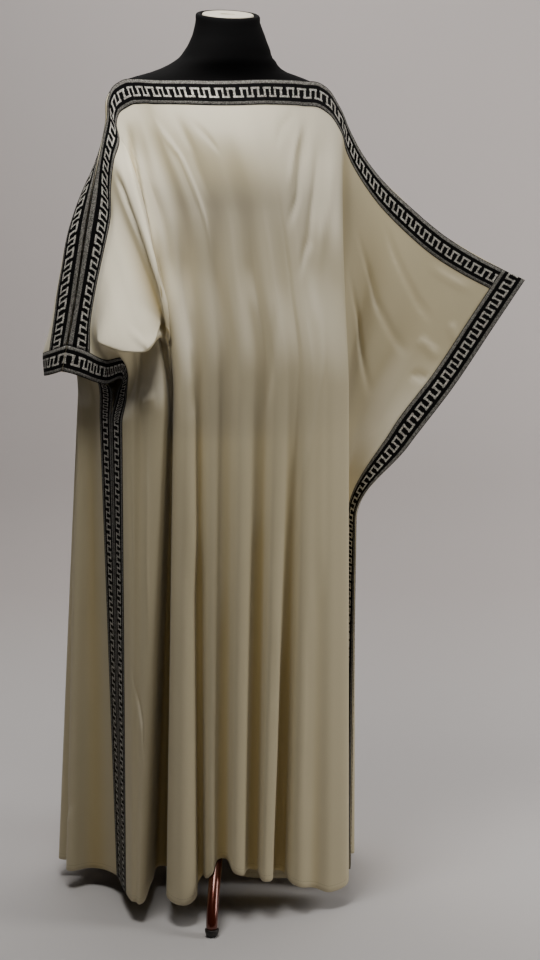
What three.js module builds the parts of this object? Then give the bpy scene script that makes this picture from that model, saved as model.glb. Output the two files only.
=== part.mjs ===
// Roman toga costume on a limbless dress form: a straight-cut kaftan of ivory crepe with black and silver
// woven ribbon on its top and side edges, worn by a black form on a three-legged stand.
// Millimetres, +Z up, the front towards -Y. Each panel is a closed wall round a surface of two values:
// s, the place across the cloth in millimetres from its middle, and v, from 0 at the top edge to 1 at the hem.
import * as THREE from 'three';

// Driving dimensions of the cut
const PANEL_LENGTH = 1400;
const HALF_WIDTH = 670;
const HALF_NECK = 200;
const CLOTH_THICKNESS = 2;
const RIBBON_WIDTH = 42;
const RIBBON_THICKNESS = 0.8;
const SEAM_GAP = 0.35;
const LAY_GAP = 0.3;
const RIBBON_LINE = HALF_WIDTH - RIBBON_WIDTH;
const RIBBON_V = RIBBON_WIDTH / PANEL_LENGTH;
// The stretch of the front across which its folds have the finest steps
const FINE_FROM = -380;
const FINE_TO = 260;

// Driving dimensions of the form and its stand
const FORM_TURN = THREE.MathUtils.degToRad(15);
const FORM_X = 10;
const FORM_SEGMENTS = 32;
const STAND_X = 0;
const STAND_Y = -35;
const POLE_RADIUS = 14;
const HUB_RADIUS = 32;
const HUB_HEIGHT = 52;
const HUB_Z = 176;
const FOOT_CIRCLE = 228;
const LEG_RADIUS_TOP = 11;
const LEG_RADIUS_FOOT = 10;
const FRONT_LEG_ANGLE = THREE.MathUtils.degToRad(-94);
const LEG_KNEE_Z = 57;
const LEG_KNEE_SHIFT = 3;
const LEG_STEPS = 10;
const LEG_SIDES = 16;
const TIP_HEIGHT = 14;
const TIP_FLARE = 2;
const TIP_TAPER = 2;
const STAND_GAP = 0.3;
const ROUND_SIDES = 24;

// Heights along the cloth, as shares of its length, at which the section tables give a place
const LEVELS = [0, 0.07, 0.16, 0.24, 0.36, 0.68, 1];
const [SHOULDER, CHEST, WAIST, HIP, KNEE, HEM] = [1, 2, 3, 4, 5, 6];
// How far the front stands out below the neck, and how far across the panel that reaches
const SHOULDER_ROUND = 13;
const SHOULDER_REACH = 280;
// The panels' spacing at the overarm seams, as a share of a wall and its gap, and its left direction
const SEAM_SHARE = 0.62;
const LEFT_SEAM_RUN = [-0.6, 0.8, 0];
const NECK_SEAM_S = 205;
// The way each panel runs from the left overarm seam, how far that reaches, and the stretch it grows over
const SLEEVE_RUN = { front: [0.96, -0.14, -0.22], back: [-0.94, 0.02, -0.32] };
const SLEEVE_ROUND = 1.7;
const [SLEEVE_FROM, SLEEVE_TO] = [-300, -430];
// Shares of the length at which the walls have a row of points
const ROWS = [0, RIBBON_V, 0.07, 0.115, 0.16, 0.2, 0.24, 0.295, 0.36, 0.44, 0.52, 0.61, 0.7, 0.79, 0.87, 0.94, 1];

// The top edge over the left arm, the front of the neck and the right arm. Columns: s, x, y, z.
const FRONT_EDGE = [
  [-670, -268, -105, 948],
  [-555, -245, -88, 1069],
  [-405, -220, -75, 1221],
  [-265, -191, -60, 1360],
  [-205, -176, -56, 1423],
  [-100, -95, -92, 1430],
  [0, 0, -104, 1429],
  [100, 92, -66, 1431],
  [180, 168, 4, 1424],
  [205, 192, 32, 1406],
  [246, 212, 48, 1363],
  [334, 256, 52, 1287],
  [410, 309, 54, 1232],
  [503, 380, 54, 1171],
  [586, 450, 52, 1127],
  [670, 530, 50, 1088],
];

// The top edge round the back of the neck. Columns: s, x, y, z.
const BACK_NECK = [
  [-205, -176, -56, 1423],
  [-120, -112, 28, 1437],
  [0, 2, 82, 1437],
  [110, 104, 82, 1435],
  [205, 192, 32, 1406],
];

// Fold lines of the left sleeve and the cloth under it, from the side seam inwards. Columns: s, roundness,
// then x, y, z below the shoulder, at the swag, in the tuck behind it, at the hip and at the hem.
const LEFT_FOLDS = [
  [-670, 1.0, -192, -152, 933, -166, -140, 940, -174, -128, 912, -184, -130, 868, -178, -124, 34],
  [-628, 1.0, -190, -155, 974, -158, -166, 976, -155, -158, 914, -163, -160, 866, -168, -164, 36],
  [-580, 1.0, -206, -150, 1008, -187, -202, 1003, -142, -166, 985, -147, -174, 872, -156, -202, 38],
  [-520, 1.0, -202, -146, 1058, -172, -218, 1000, -136, -166, 1022, -131, -170, 880, -148, -206, 38],
  [-450, 1.0, -190, -142, 1108, -146, -222, 998, -122, -168, 1030, -112, -180, 890, -142, -212, 36],
  [-385, 1.0, -174, -134, 1146, -116, -212, 1002, -106, -166, 1022, -92, -176, 885, -134, -200, 38],
  [-335, 1.2, -158, -122, 1196, -100, -172, 1058, -92, -148, 1000, -86, -130, 860, -126, -128, 42],
  [-290, 1.2, -150, -126, 1246, -104, -184, 1116, -86, -168, 1016, -82, -122, 860, -108, -62, 46],
  [-255, 1.2, -140, -110, 1274, -106, -150, 1148, -82, -142, 1045, -77, -138, 880, -94, -150, 48],
];

// Fold lines of the body. Columns: s, roundness, chest x, y, hip x, y, hem x, y, z.
const BODY_FOLDS = [
  [-222, 1.4, -108, -136, -74, -166, -88, -220, 46],
  [-190, 1.4, -90, -134, -54, -176, -52, -224, 44],
  [-160, 1.3, -66, -132, -36, -158, -38, -176, 70],
  [-130, 1.4, -38, -141, -14, -168, -20, -214, 88],
  [-95, 1.3, -16, -139, 12, -157, 0, -190, 112],
  [-55, 1.4, 12, -143, 38, -169, 27, -216, 92],
  [-15, 1.3, 38, -138, 70, -150, 54, -172, 84],
  [25, 1.4, 66, -137, 98, -159, 76, -204, 74],
  [65, 1.3, 92, -126, 122, -139, 99, -142, 70],
  [105, 1.3, 116, -115, 146, -137, 126, -180, 58],
  [145, 1.2, 140, -98, 170, -118, 160, -158, 44],
  [185, 1.3, 170, -76, 194, -102, 192, -152, 34],
  [225, 1.4, 206, -42, 217, -70, 222, -114, 44],
];

// Fold lines of the right sleeve and the cloth behind the body's last fold, out to the side seam.
// Columns as for the left sleeve.
const RIGHT_FOLDS = [
  [265, 1.2, 192, 10, 1140, 188, 4, 1040, 186, -28, 862, 192, -96, 48],
  [310, 1.0, 216, 34, 1092, 204, 26, 985, 180, -8, 790, 128, -112, 44],
  [370, 1.0, 242, 52, 1040, 220, 42, 935, 188, 10, 740, 32, -96, 40],
  [440, 1.0, 264, 50, 1000, 232, 42, 896, 198, 20, 712, 22, -52, 38],
  [510, 1.0, 298, 58, 968, 254, 46, 862, 210, 18, 694, 118, -46, 38],
  [575, 1.0, 334, 54, 948, 278, 42, 840, 214, 8, 680, 166, -52, 40],
  [628, 1.0, 374, 50, 926, 298, 36, 824, 220, 0, 676, 190, -60, 42],
  [670, 1.0, 408, 44, 900, 328, 28, 796, 234, -12, 670, 226, -68, 42],
];

// Sections of the back panel. Columns: s, then x, y, z below the shoulder, at the blades, the waist, the hip
// and the hem.
const BACK_SECTIONS = [
  [-670, -304, -52, 934, -286, 10, 932, -186, -118, 924, -184, -130, 868, -178, -124, 34],
  [-628, -304, -52, 972, -291, 18, 966, -212, -84, 932, -206, -92, 866, -190, -84, 36],
  [-540, -292, -48, 1020, -282, 28, 1000, -254, 6, 962, -236, -50, 872, -256, -58, 36],
  [-430, -266, -44, 1128, -258, 38, 1048, -244, 44, 1000, -243, 0, 890, -284, 10, 34],
  [-320, -232, -30, 1238, -214, 66, 1130, -206, 84, 1058, -220, 60, 900, -262, 90, 34],
  [-220, -166, 32, 1336, -156, 92, 1190, -152, 104, 1090, -165, 104, 900, -190, 155, 34],
  [-110, -92, 88, 1348, -78, 112, 1205, -76, 118, 1090, -85, 126, 900, -100, 190, 32],
  [0, 2, 112, 1348, 0, 120, 1208, 0, 126, 1093, 0, 132, 900, 0, 205, 30],
  [110, 94, 112, 1346, 78, 122, 1205, 78, 126, 1090, 85, 130, 900, 98, 192, 32],
  [220, 174, 88, 1318, 152, 116, 1190, 152, 118, 1085, 160, 118, 880, 176, 172, 34],
  [320, 230, 76, 1200, 210, 100, 1090, 202, 102, 985, 206, 86, 790, 212, 118, 36],
  [430, 300, 74, 1118, 272, 98, 1002, 238, 96, 900, 222, 62, 730, 216, 40, 38],
  [540, 378, 72, 1056, 332, 88, 952, 282, 80, 856, 228, 32, 690, 220, 0, 40],
  [628, 446, 64, 1020, 388, 72, 926, 314, 60, 824, 234, 14, 674, 226, -34, 42],
  [670, 470, 56, 994, 408, 60, 900, 332, 46, 798, 234, -12, 670, 226, -68, 42],
];
const BACK_FOLD_STEP = 42;
const BACK_FOLD_REACH = 560;
// Depth of the back's folds at each level, from the hull out to a crest or in to a valley
const BACK_FOLD_DEPTH = [0, 2, 4, 5, 9, 15, 20];
const BACK_FOLD_ROUND = 1.3;
// Half the stretch of cloth over which the hull's run is taken
const HULL_STEP = 20;

// Rings of the form. Columns: z, half width, half depth, forward shift.
const FORM_RINGS = [
  [850, 146, 104, 8],
  [862, 154, 112, 8],
  [930, 156, 114, 8],
  [1010, 140, 104, 4],
  [1090, 128, 96, 4],
  [1170, 142, 104, 10],
  [1240, 156, 110, 14],
  [1320, 160, 94, 10],
  [1380, 168, 78, 4],
  [1412, 160, 64, -2],
  [1432, 132, 54, -4],
  [1446, 92, 52, -4],
  [1462, 64, 54, 0],
  [1484, 57, 55, 4],
  [1528, 55, 55, 8],
];
const CAP_RADIUS = 44;
const CAP_HEIGHT = 12;
const CAP_HOLE_RADIUS = 12;
const CAP_BEVEL = 2;
const NECK_TILT = THREE.MathUtils.degToRad(10);
const [NECK_TOP, , , NECK_FORWARD] = FORM_RINGS.at(-1);

const add = (a, b, k = 1) => [a[0] + b[0] * k, a[1] + b[1] * k, a[2] + b[2] * k];
const sub = (a, b) => add(a, b, -1);
const mix = (a, b, t) => add(a, sub(b, a), t);
const size = (a) => Math.hypot(...a);
const unit = (a) => a.map((value) => value / (size(a) || 1));

// A cubic from a to b whose end slopes point along the unit directions da and db
function bow(a, b, da, db, roundA, roundB, t) {
  const chord = size(sub(b, a));
  const t2 = t * t;
  const t3 = t2 * t;
  let point = add([0, 0, 0], a, 2 * t3 - 3 * t2 + 1);
  point = add(point, b, 3 * t2 - 2 * t3);
  point = add(point, da, (t3 - 2 * t2 + t) * chord * roundA);
  return add(point, db, (t3 - t2) * chord * roundB);
}

// The direction of a smooth line at its point i, across that point's two neighbours
function heading(points, i) {
  const before = points[Math.max(i - 1, 0)];
  const after = points[Math.min(i + 1, points.length - 1)];
  return unit(sub(after, before));
}

// A smooth line through a table whose rows start with their place along it
function along(table, place) {
  let i = table.findIndex((row) => row[0] >= place);
  i = Math.min(Math.max(i < 0 ? table.length - 1 : i, 1), table.length - 1) - 1;
  const t = (place - table[i][0]) / (table[i + 1][0] - table[i][0]);
  const points = table.map((row) => row.slice(1, 4));
  return bow(points[i], points[i + 1], heading(points, i), heading(points, i + 1), 1, 1, t);
}

const share = (level, from, to) => (LEVELS[level] - LEVELS[from]) / (LEVELS[to] - LEVELS[from]);

// The seven places of a fold line from the top edge to the hem
function foldLine(top, shoulder, chest, waist, hip, hem) {
  return [top, shoulder, chest, waist, hip, mix(hip, hem, share(KNEE, HIP, HEM)), hem];
}

// A place between the top edge and the chest, which stands forward near the middle of the panel
function frontShoulder(s, top, chest) {
  const round = Math.abs(s) < SHOULDER_REACH ? Math.cos((s / SHOULDER_REACH) * (Math.PI / 2)) ** 2 : 0;
  return add(mix(top, chest, share(SHOULDER, 0, CHEST)), [0, -SHOULDER_ROUND * round, 0]);
}

// A fold line's slope at its top edge, which turns towards the sleeve's run over the left arm
function topSlope(line, s, run) {
  const turned = THREE.MathUtils.smoothstep(SLEEVE_FROM - s, 0, SLEEVE_FROM - SLEEVE_TO);
  return mix(heading(line, 0), run.map((value) => value * SLEEVE_ROUND), turned);
}

// The point of a fold line at v. Below the hip the line runs on straight, so that joined edges agree.
function onFoldLine(fold, v) {
  const { line } = fold;
  let i = 0;
  while (i < LEVELS.length - 2 && v > LEVELS[i + 1]) i += 1;
  const t = (v - LEVELS[i]) / (LEVELS[i + 1] - LEVELS[i]);
  const below = unit(sub(line[KNEE], line[HIP]));
  const slope = (k) => {
    if (k === 0) return topSlope(line, fold.s, fold.run);
    return k === HIP ? below : heading(line, k);
  };
  return bow(line[i], line[i + 1], slope(i), slope(i + 1), 1, 1, t);
}

// A point of a panel: a line across its fold lines at v, smooth over each crest and valley
function onPanel(folds, i, t, v) {
  const points = folds.map((fold) => onFoldLine(fold, v));
  const [a, b] = [folds[i], folds[i + 1]];
  return bow(points[i], points[i + 1], heading(points, i), heading(points, i + 1), a.round, b.round, t);
}

// How far the top edge of a panel stays from its seam, towards the front (-1) or the back (+1)
function seamShift(s, side) {
  const apart = side * (CLOTH_THICKNESS + SEAM_GAP) * SEAM_SHARE;
  if (s < -HALF_NECK) return LEFT_SEAM_RUN.map((value) => value * apart);
  return s > HALF_NECK ? [0, apart, 0] : [0, 0, 0];
}

// The side edges stay apart the same way below the sleeves. The left seam runs on round the body, and the
// right one is a corner.
const SIDE_SHIFT = {
  front: { left: [0.2, -0.35, 0], right: [-1.4, 0, 0] },
  back: { left: [-0.2, 0.35, 0], right: [0, 1.4, 0] },
};

function apartAtSides(folds, run, shift) {
  const move = (fold, by) => {
    [HIP, KNEE, HEM].forEach((level) => { fold.line[level] = add(fold.line[level], by); });
  };
  move(folds[0], shift.left);
  move(folds.at(-1), shift.right);
  return folds.map((fold) => ({ ...fold, run }));
}

function frontFolds() {
  const edge = (s) => add(along(FRONT_EDGE, s), seamShift(s, -1));
  const places = (row, columns) => columns.map((k) => row.slice(k, k + 3));
  const left = (row) => (
    { s: row[0], round: row[1], line: foldLine(edge(row[0]), ...places(row, [2, 5, 8, 11, 14])) });
  const body = ([s, round, chestX, chestY, hipX, hipY, hemX, hemY, hemZ]) => {
    const top = edge(s);
    const height = (v) => top[2] + (hemZ - top[2]) * v;
    const chest = [chestX, chestY, height(LEVELS[CHEST])];
    const hip = [hipX, hipY, height(LEVELS[HIP])];
    const waist = mix(chest, hip, share(WAIST, CHEST, HIP));
    const shoulder = frontShoulder(s, top, chest);
    return { s, round, line: foldLine(top, shoulder, chest, waist, hip, [hemX, hemY, hemZ]) };
  };
  const right = (row) => {
    const top = edge(row[0]);
    const [chest, ...below] = places(row, [2, 5, 8, 11]);
    const shoulder = frontShoulder(row[0], top, chest);
    return { s: row[0], round: row[1], line: foldLine(top, shoulder, chest, ...below) };
  };
  const folds = [...LEFT_FOLDS.map(left), ...BODY_FOLDS.map(body), ...RIGHT_FOLDS.map(right)];
  return apartAtSides(folds, SLEEVE_RUN.front, SIDE_SHIFT.front);
}

function backFolds() {
  const section = (column) => BACK_SECTIONS.map((row) => [row[0], ...row.slice(column, column + 3)]);
  const sections = [1, 4, 7, 10, 13].map(section);
  const edge = (s) => {
    const table = Math.abs(s) < NECK_SEAM_S ? BACK_NECK : FRONT_EDGE;
    return add(along(table, s), seamShift(s, 1));
  };
  const hull = (s) => foldLine(edge(s), ...sections.map((table) => along(table, s)));
  const places = [];
  for (let s = -BACK_FOLD_REACH; s <= BACK_FOLD_REACH; s += BACK_FOLD_STEP) places.push(s);
  const folded = places.map((s, i) => {
    const before = hull(s - HULL_STEP);
    const after = hull(s + HULL_STEP);
    const sign = i % 2 ? 1 : -1;
    const line = hull(s).map((point, level) => {
      const run = sub(after[level], before[level]);
      const out = unit([-run[1], run[0], 0]);
      return add(point, out, sign * BACK_FOLD_DEPTH[level]);
    });
    return { s, round: BACK_FOLD_ROUND, line };
  });
  const plain = (s) => ({ s, round: 1, line: hull(s) });
  const folds = [plain(-HALF_WIDTH), plain(-RIBBON_LINE), ...folded, plain(RIBBON_LINE), plain(HALF_WIDTH)];
  return apartAtSides(folds, SLEEVE_RUN.back, SIDE_SHIFT.back);
}

// The panel's points, one column for each of cells steps between fold lines, and its outward normals.
// turn is 1 where s runs to the right seen from outside, and -1 where it runs to the left.
function panelGrid(folds, turn, cellsFor) {
  const columns = [];
  folds.slice(0, -1).forEach((fold, i) => {
    const cells = cellsFor(fold.s, folds[i + 1].s);
    for (let k = 0; k < cells; k += 1) columns.push([i, k / cells]);
  });
  columns.push([folds.length - 2, 1]);
  const places = columns.map(([i, t]) => folds[i].s + (folds[i + 1].s - folds[i].s) * t);
  const points = columns.map(([i, t]) => ROWS.map((v) => onPanel(folds, i, t, v)));
  const normals = points.map((column, i) => column.map((point, j) => {
    const across = sub(points[Math.min(i + 1, points.length - 1)][j], points[Math.max(i - 1, 0)][j]);
    const down = sub(column[Math.min(j + 1, column.length - 1)], column[Math.max(j - 1, 0)]);
    const cross = new THREE.Vector3(...down).cross(new THREE.Vector3(...across));
    return unit(cross.multiplyScalar(turn).toArray());
  }));
  return { places, points, normals };
}

// A closed wall between two grids of points with the same layout
function wallBetween(inner, outer) {
  const columns = outer.length;
  const rows = outer[0].length;
  const vertices = [...outer.flat(), ...inner.flat()].flat();
  const outside = (i, j) => i * rows + j;
  const inside = (i, j) => columns * rows + i * rows + j;
  const faces = [];
  const quad = (a, b, c, d) => faces.push(a, b, c, a, c, d);
  for (let i = 0; i < columns - 1; i += 1) {
    for (let j = 0; j < rows - 1; j += 1) {
      quad(outside(i, j), outside(i, j + 1), outside(i + 1, j + 1), outside(i + 1, j));
      quad(inside(i, j), inside(i + 1, j), inside(i + 1, j + 1), inside(i, j + 1));
    }
    quad(outside(i, 0), outside(i + 1, 0), inside(i + 1, 0), inside(i, 0));
    quad(outside(i, rows - 1), inside(i, rows - 1), inside(i + 1, rows - 1), outside(i + 1, rows - 1));
  }
  for (let j = 0; j < rows - 1; j += 1) {
    quad(outside(0, j), inside(0, j), inside(0, j + 1), outside(0, j + 1));
    quad(outside(columns - 1, j), outside(columns - 1, j + 1), inside(columns - 1, j + 1), inside(columns - 1, j));
  }
  const geometry = new THREE.BufferGeometry();
  geometry.setAttribute('position', new THREE.Float32BufferAttribute(vertices, 3));
  geometry.setIndex(faces);
  return geometry;
}

// Turns a wall's faces round when its two grids were given the other way
function facingOut(geometry) {
  const position = geometry.getAttribute('position');
  const index = geometry.getIndex();
  const [a, b, c] = [new THREE.Vector3(), new THREE.Vector3(), new THREE.Vector3()];
  let volume = 0;
  for (let i = 0; i < index.count; i += 3) {
    a.fromBufferAttribute(position, index.getX(i));
    b.fromBufferAttribute(position, index.getX(i + 1));
    c.fromBufferAttribute(position, index.getX(i + 2));
    volume += a.dot(b.cross(c)) / 6;
  }
  if (volume < 0) {
    for (let i = 0; i < index.count; i += 3) {
      const second = index.getX(i + 1);
      index.setX(i + 1, index.getX(i + 2));
      index.setX(i + 2, second);
    }
  }
  geometry.computeVertexNormals();
  return geometry;
}

const lift = (grid, distance) => grid.points.map((column, i) => (
  column.map((point, j) => add(point, grid.normals[i][j], distance))));

function clothWall(grid) {
  return facingOut(wallBetween(lift(grid, -CLOTH_THICKNESS / 2), lift(grid, CLOTH_THICKNESS / 2)));
}

// A ribbon laid on a stretch of the panel's own points, just off its outer face
function ribbonWall(stretch) {
  const low = CLOTH_THICKNESS / 2 + LAY_GAP;
  return facingOut(wallBetween(lift(stretch, low), lift(stretch, low + RIBBON_THICKNESS)));
}

function topStretch(grid) {
  const inside = grid.places.map((s, i) => [s, i]).filter(([s]) => Math.abs(s) <= RIBBON_LINE);
  const pick = (rows) => inside.map(([, i]) => rows[i].slice(0, 2));
  const stretch = { points: pick(grid.points), normals: pick(grid.normals) };
  const shorten = (end, next) => {
    stretch.points[end] = stretch.points[end].map((point, j) => (
      add(point, unit(sub(stretch.points[next][j], point)), SEAM_GAP + RIBBON_THICKNESS)));
  };
  shorten(0, 1);
  shorten(stretch.points.length - 1, stretch.points.length - 2);
  return stretch;
}

// The ribbon's stretch of one side edge between two shares of the panel's length
function sideStretch(grid, side, from = 0, to = 1) {
  const [first, last] = [ROWS.indexOf(from), ROWS.indexOf(to)];
  const pick = (rows) => rows.filter((_, i) => side * grid.places[i] >= RIBBON_LINE)
    .map((column) => column.slice(first, last + 1));
  return { points: pick(grid.points), normals: pick(grid.normals) };
}

// A closed body through rings of equal counts, with a flat lid at each end
function ringBody(rings) {
  const count = rings[0].length;
  const vertices = rings.flat();
  const faces = [];
  for (let i = 0; i < rings.length - 1; i += 1) {
    for (let k = 0; k < count; k += 1) {
      const a = i * count + k;
      const b = i * count + ((k + 1) % count);
      faces.push(a, b, b + count, a, b + count, a + count);
    }
  }
  [[0, 1], [rings.length - 1, -1]].forEach(([ring, way]) => {
    const centre = vertices.length;
    vertices.push(rings[ring].reduce((sum, point) => add(sum, point, 1 / count), [0, 0, 0]));
    for (let k = 0; k < count; k += 1) {
      const a = ring * count + k;
      const b = ring * count + ((k + 1) % count);
      faces.push(...(way > 0 ? [centre, b, a] : [centre, a, b]));
    }
  });
  const geometry = new THREE.BufferGeometry();
  geometry.setAttribute('position', new THREE.Float32BufferAttribute(vertices.flat(), 3));
  geometry.setIndex(faces);
  return facingOut(geometry);
}

function formBody() {
  const rings = FORM_RINGS.map(([z, halfWidth, halfDepth, forward]) => {
    const slope = z === NECK_TOP ? Math.tan(NECK_TILT) : 0;
    const ring = [];
    for (let k = 0; k < FORM_SEGMENTS; k += 1) {
      const angle = (k / FORM_SEGMENTS) * Math.PI * 2;
      const depth = halfDepth * Math.sin(angle);
      ring.push([halfWidth * Math.cos(angle), depth - forward, z + depth * slope]);
    }
    return ring;
  });
  return ringBody(rings);
}

function capBody() {
  const profile = [
    [CAP_HOLE_RADIUS, 0], [CAP_RADIUS, 0], [CAP_RADIUS, CAP_HEIGHT - CAP_BEVEL],
    [CAP_RADIUS - CAP_BEVEL, CAP_HEIGHT], [CAP_HOLE_RADIUS, CAP_HEIGHT], [CAP_HOLE_RADIUS, 0],
  ].map(([radius, height]) => new THREE.Vector2(radius, height));
  return new THREE.LatheGeometry(profile, FORM_SEGMENTS).rotateX(Math.PI / 2);
}

// A bowed leg in the XZ plane: level where it stands on its tip, upright where it meets the hub
function bowedLeg() {
  const foot = new THREE.Vector2(FOOT_CIRCLE, TIP_HEIGHT + STAND_GAP);
  const knee = new THREE.Vector2(FOOT_CIRCLE - LEG_KNEE_SHIFT, LEG_KNEE_Z);
  const head = new THREE.Vector2(HUB_RADIUS + STAND_GAP, HUB_Z);
  const curve = new THREE.QuadraticBezierCurve(foot, knee, head);
  const rings = [];
  for (let i = 0; i <= LEG_STEPS; i += 1) {
    const t = i / LEG_STEPS;
    const centre = curve.getPoint(t);
    const run = curve.getTangent(t);
    let lean = Math.atan2(-run.x, run.y);
    if (i === 0) lean = 0;
    if (i === LEG_STEPS) lean = Math.PI / 2;
    const radius = LEG_RADIUS_FOOT + (LEG_RADIUS_TOP - LEG_RADIUS_FOOT) * t;
    const ring = [];
    for (let k = 0; k < LEG_SIDES; k += 1) {
      const angle = (k / LEG_SIDES) * Math.PI * 2;
      const across = radius * Math.cos(angle);
      const [x, z] = [across * Math.cos(lean), across * Math.sin(lean)];
      ring.push([centre.x + x, radius * Math.sin(angle), centre.y + z]);
    }
    rings.push(ring);
  }
  return ringBody(rings);
}

const finish = (color, roughness, metalness = 0) => (
  new THREE.MeshStandardMaterial({ color, roughness, metalness }));
const crepe = () => finish(0xd9d4c3, 0.85);
const ribbon = () => finish(0x2a2a2c, 0.55, 0.2);
const jersey = () => finish(0x0c0c0e, 0.9);
const capFinish = () => finish(0xd8d2c4, 0.6);
const copper = () => finish(0x5a2a18, 0.25, 0.4);
const rubber = () => finish(0x17120f, 0.7);

const toga = new THREE.Group();

function place(name, geometry, material, parent = toga) {
  const mesh = new THREE.Mesh(geometry, material);
  mesh.name = name;
  parent.add(mesh);
  return mesh;
}

// Steps between two fold lines: one under a ribbon, more where the front's folds are closest
const underRibbon = (from, to) => from < -RIBBON_LINE || to > RIBBON_LINE;
const backCells = (from, to) => (underRibbon(from, to) ? 1 : 2);
const frontCells = (from, to) => (from < FINE_FROM || to > FINE_TO ? backCells(from, to) : 3);
const front = panelGrid(frontFolds(), 1, frontCells);
const back = panelGrid(backFolds(), -1, backCells);
place('front_panel', clothWall(front), crepe());
place('back_panel', clothWall(back), crepe());
place('front_top_ribbon', ribbonWall(topStretch(front)), ribbon());
place('back_top_ribbon', ribbonWall(topStretch(back)), ribbon());
place('front_left_ribbon', ribbonWall(sideStretch(front, -1)), ribbon());
place('front_right_ribbon', ribbonWall(sideStretch(front, 1)), ribbon());
place('back_left_cuff_ribbon', ribbonWall(sideStretch(back, -1, 0, LEVELS[CHEST])), ribbon());
place('back_left_ribbon', ribbonWall(sideStretch(back, -1, LEVELS[WAIST], 1)), ribbon());
place('back_right_ribbon', ribbonWall(sideStretch(back, 1)), ribbon());

// The form turned a little to the right, with the cap on its neck, which slopes down to the front
const form = new THREE.Group();
form.rotation.z = FORM_TURN;
form.position.x = FORM_X;
toga.add(form);
place('dress_form', formBody(), jersey(), form);
const cap = place('neck_cap', capBody(), capFinish(), form);
cap.rotation.x = NECK_TILT;
cap.position.set(0, -NECK_FORWARD - STAND_GAP * Math.sin(NECK_TILT), NECK_TOP + STAND_GAP * Math.cos(NECK_TILT));

// The stand: a pole, a hub and three sloping legs on soft tips
const hubTop = HUB_Z + HUB_HEIGHT / 2;
const formBottom = FORM_RINGS[0][0];
const stand = new THREE.Group();
stand.position.set(STAND_X, STAND_Y, 0);
toga.add(stand);
const poleLength = formBottom - hubTop - 2 * STAND_GAP;
const pole = new THREE.CylinderGeometry(POLE_RADIUS, POLE_RADIUS, poleLength, ROUND_SIDES).rotateX(Math.PI / 2);
place('stand_pole', pole, copper(), stand).position.z = hubTop + STAND_GAP + poleLength / 2;
const hub = new THREE.CylinderGeometry(HUB_RADIUS, HUB_RADIUS, HUB_HEIGHT, ROUND_SIDES).rotateX(Math.PI / 2);
place('stand_hub', hub, copper(), stand).position.z = HUB_Z;
['front', 'right', 'left'].forEach((side, i) => {
  const leg = new THREE.Group();
  leg.rotation.z = FRONT_LEG_ANGLE + (i * Math.PI * 2) / 3;
  stand.add(leg);
  place(`stand_leg_${side}`, bowedLeg(), copper(), leg);
  const [tipTop, tipFoot] = [LEG_RADIUS_FOOT + TIP_FLARE, LEG_RADIUS_FOOT - TIP_TAPER];
  const tip = new THREE.CylinderGeometry(tipTop, tipFoot, TIP_HEIGHT, LEG_SIDES).rotateX(Math.PI / 2);
  place(`foot_tip_${side}`, tip, rubber(), leg).position.set(FOOT_CIRCLE, 0, TIP_HEIGHT / 2);
});

// The frame's origin lies under the middle of the whole part, on the floor
const box = new THREE.Box3().setFromObject(toga, true);
const origin = box.getCenter(new THREE.Vector3()).setZ(box.min.z);
toga.children.forEach((child) => child.position.sub(origin));

export default toga;
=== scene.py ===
"""A roman toga costume on a limbless dress form: its cloth, its woven ribbon, the form and the stand.

Everything is worked out in millimetres in the pattern's own sizes, and put into meshes in metres. A panel's
cloth is a surface of two values: s, the place across it from its middle, and d, the distance down from its
top edge.
"""

import logging
import math
from dataclasses import dataclass
from enum import Enum

import bpy
import numpy as np
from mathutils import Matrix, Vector


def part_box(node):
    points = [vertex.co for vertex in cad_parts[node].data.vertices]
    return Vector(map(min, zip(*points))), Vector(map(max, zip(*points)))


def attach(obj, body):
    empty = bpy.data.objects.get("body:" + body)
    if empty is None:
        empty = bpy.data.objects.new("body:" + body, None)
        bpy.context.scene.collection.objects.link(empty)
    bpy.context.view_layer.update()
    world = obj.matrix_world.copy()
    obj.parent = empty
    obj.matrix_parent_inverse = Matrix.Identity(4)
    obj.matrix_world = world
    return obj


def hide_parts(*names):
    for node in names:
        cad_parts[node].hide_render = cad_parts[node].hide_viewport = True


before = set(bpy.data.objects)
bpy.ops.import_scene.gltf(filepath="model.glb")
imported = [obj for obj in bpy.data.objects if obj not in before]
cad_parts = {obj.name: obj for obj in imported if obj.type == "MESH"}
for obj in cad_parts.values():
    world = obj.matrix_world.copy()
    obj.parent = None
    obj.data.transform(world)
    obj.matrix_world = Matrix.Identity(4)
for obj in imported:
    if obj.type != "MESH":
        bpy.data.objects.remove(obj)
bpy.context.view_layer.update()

LOG = logging.getLogger("toga")
MM = 0.001

PANEL_LENGTH = 1400.0
HALF_WIDTH = 670.0
HALF_NECK = 200.0
RIBBON_WIDTH = 42.0
RIBBON_LINE = HALF_WIDTH - RIBBON_WIDTH
CLOTH_THICKNESS = 1.4
RIBBON_THICKNESS = 0.7
SEAM_GAP = 0.1
LAY_GAP = 0.05
STAND_PLACE = (0.0, -35.0)

LEVELS = np.array([0, 0.07, 0.16, 0.24, 0.36, 0.68, 1])
SHOULDER, CHEST, WAIST, HIP, KNEE, HEM = range(1, 7)
SHOULDER_ROUND = 13.0
SHOULDER_REACH = 280.0
SEAM_SHARE = 0.62
LEFT_SEAM_RUN = np.array([-0.6, 0.8, 0])
NECK_SEAM_S = 205.0
SLEEVE_RUN = {1: np.array([0.96, -0.14, -0.22]), -1: np.array([-0.94, 0.02, -0.32])}
SLEEVE_ROUND = 1.7
SLEEVE_FROM, SLEEVE_TO = -300.0, -430.0

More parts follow.
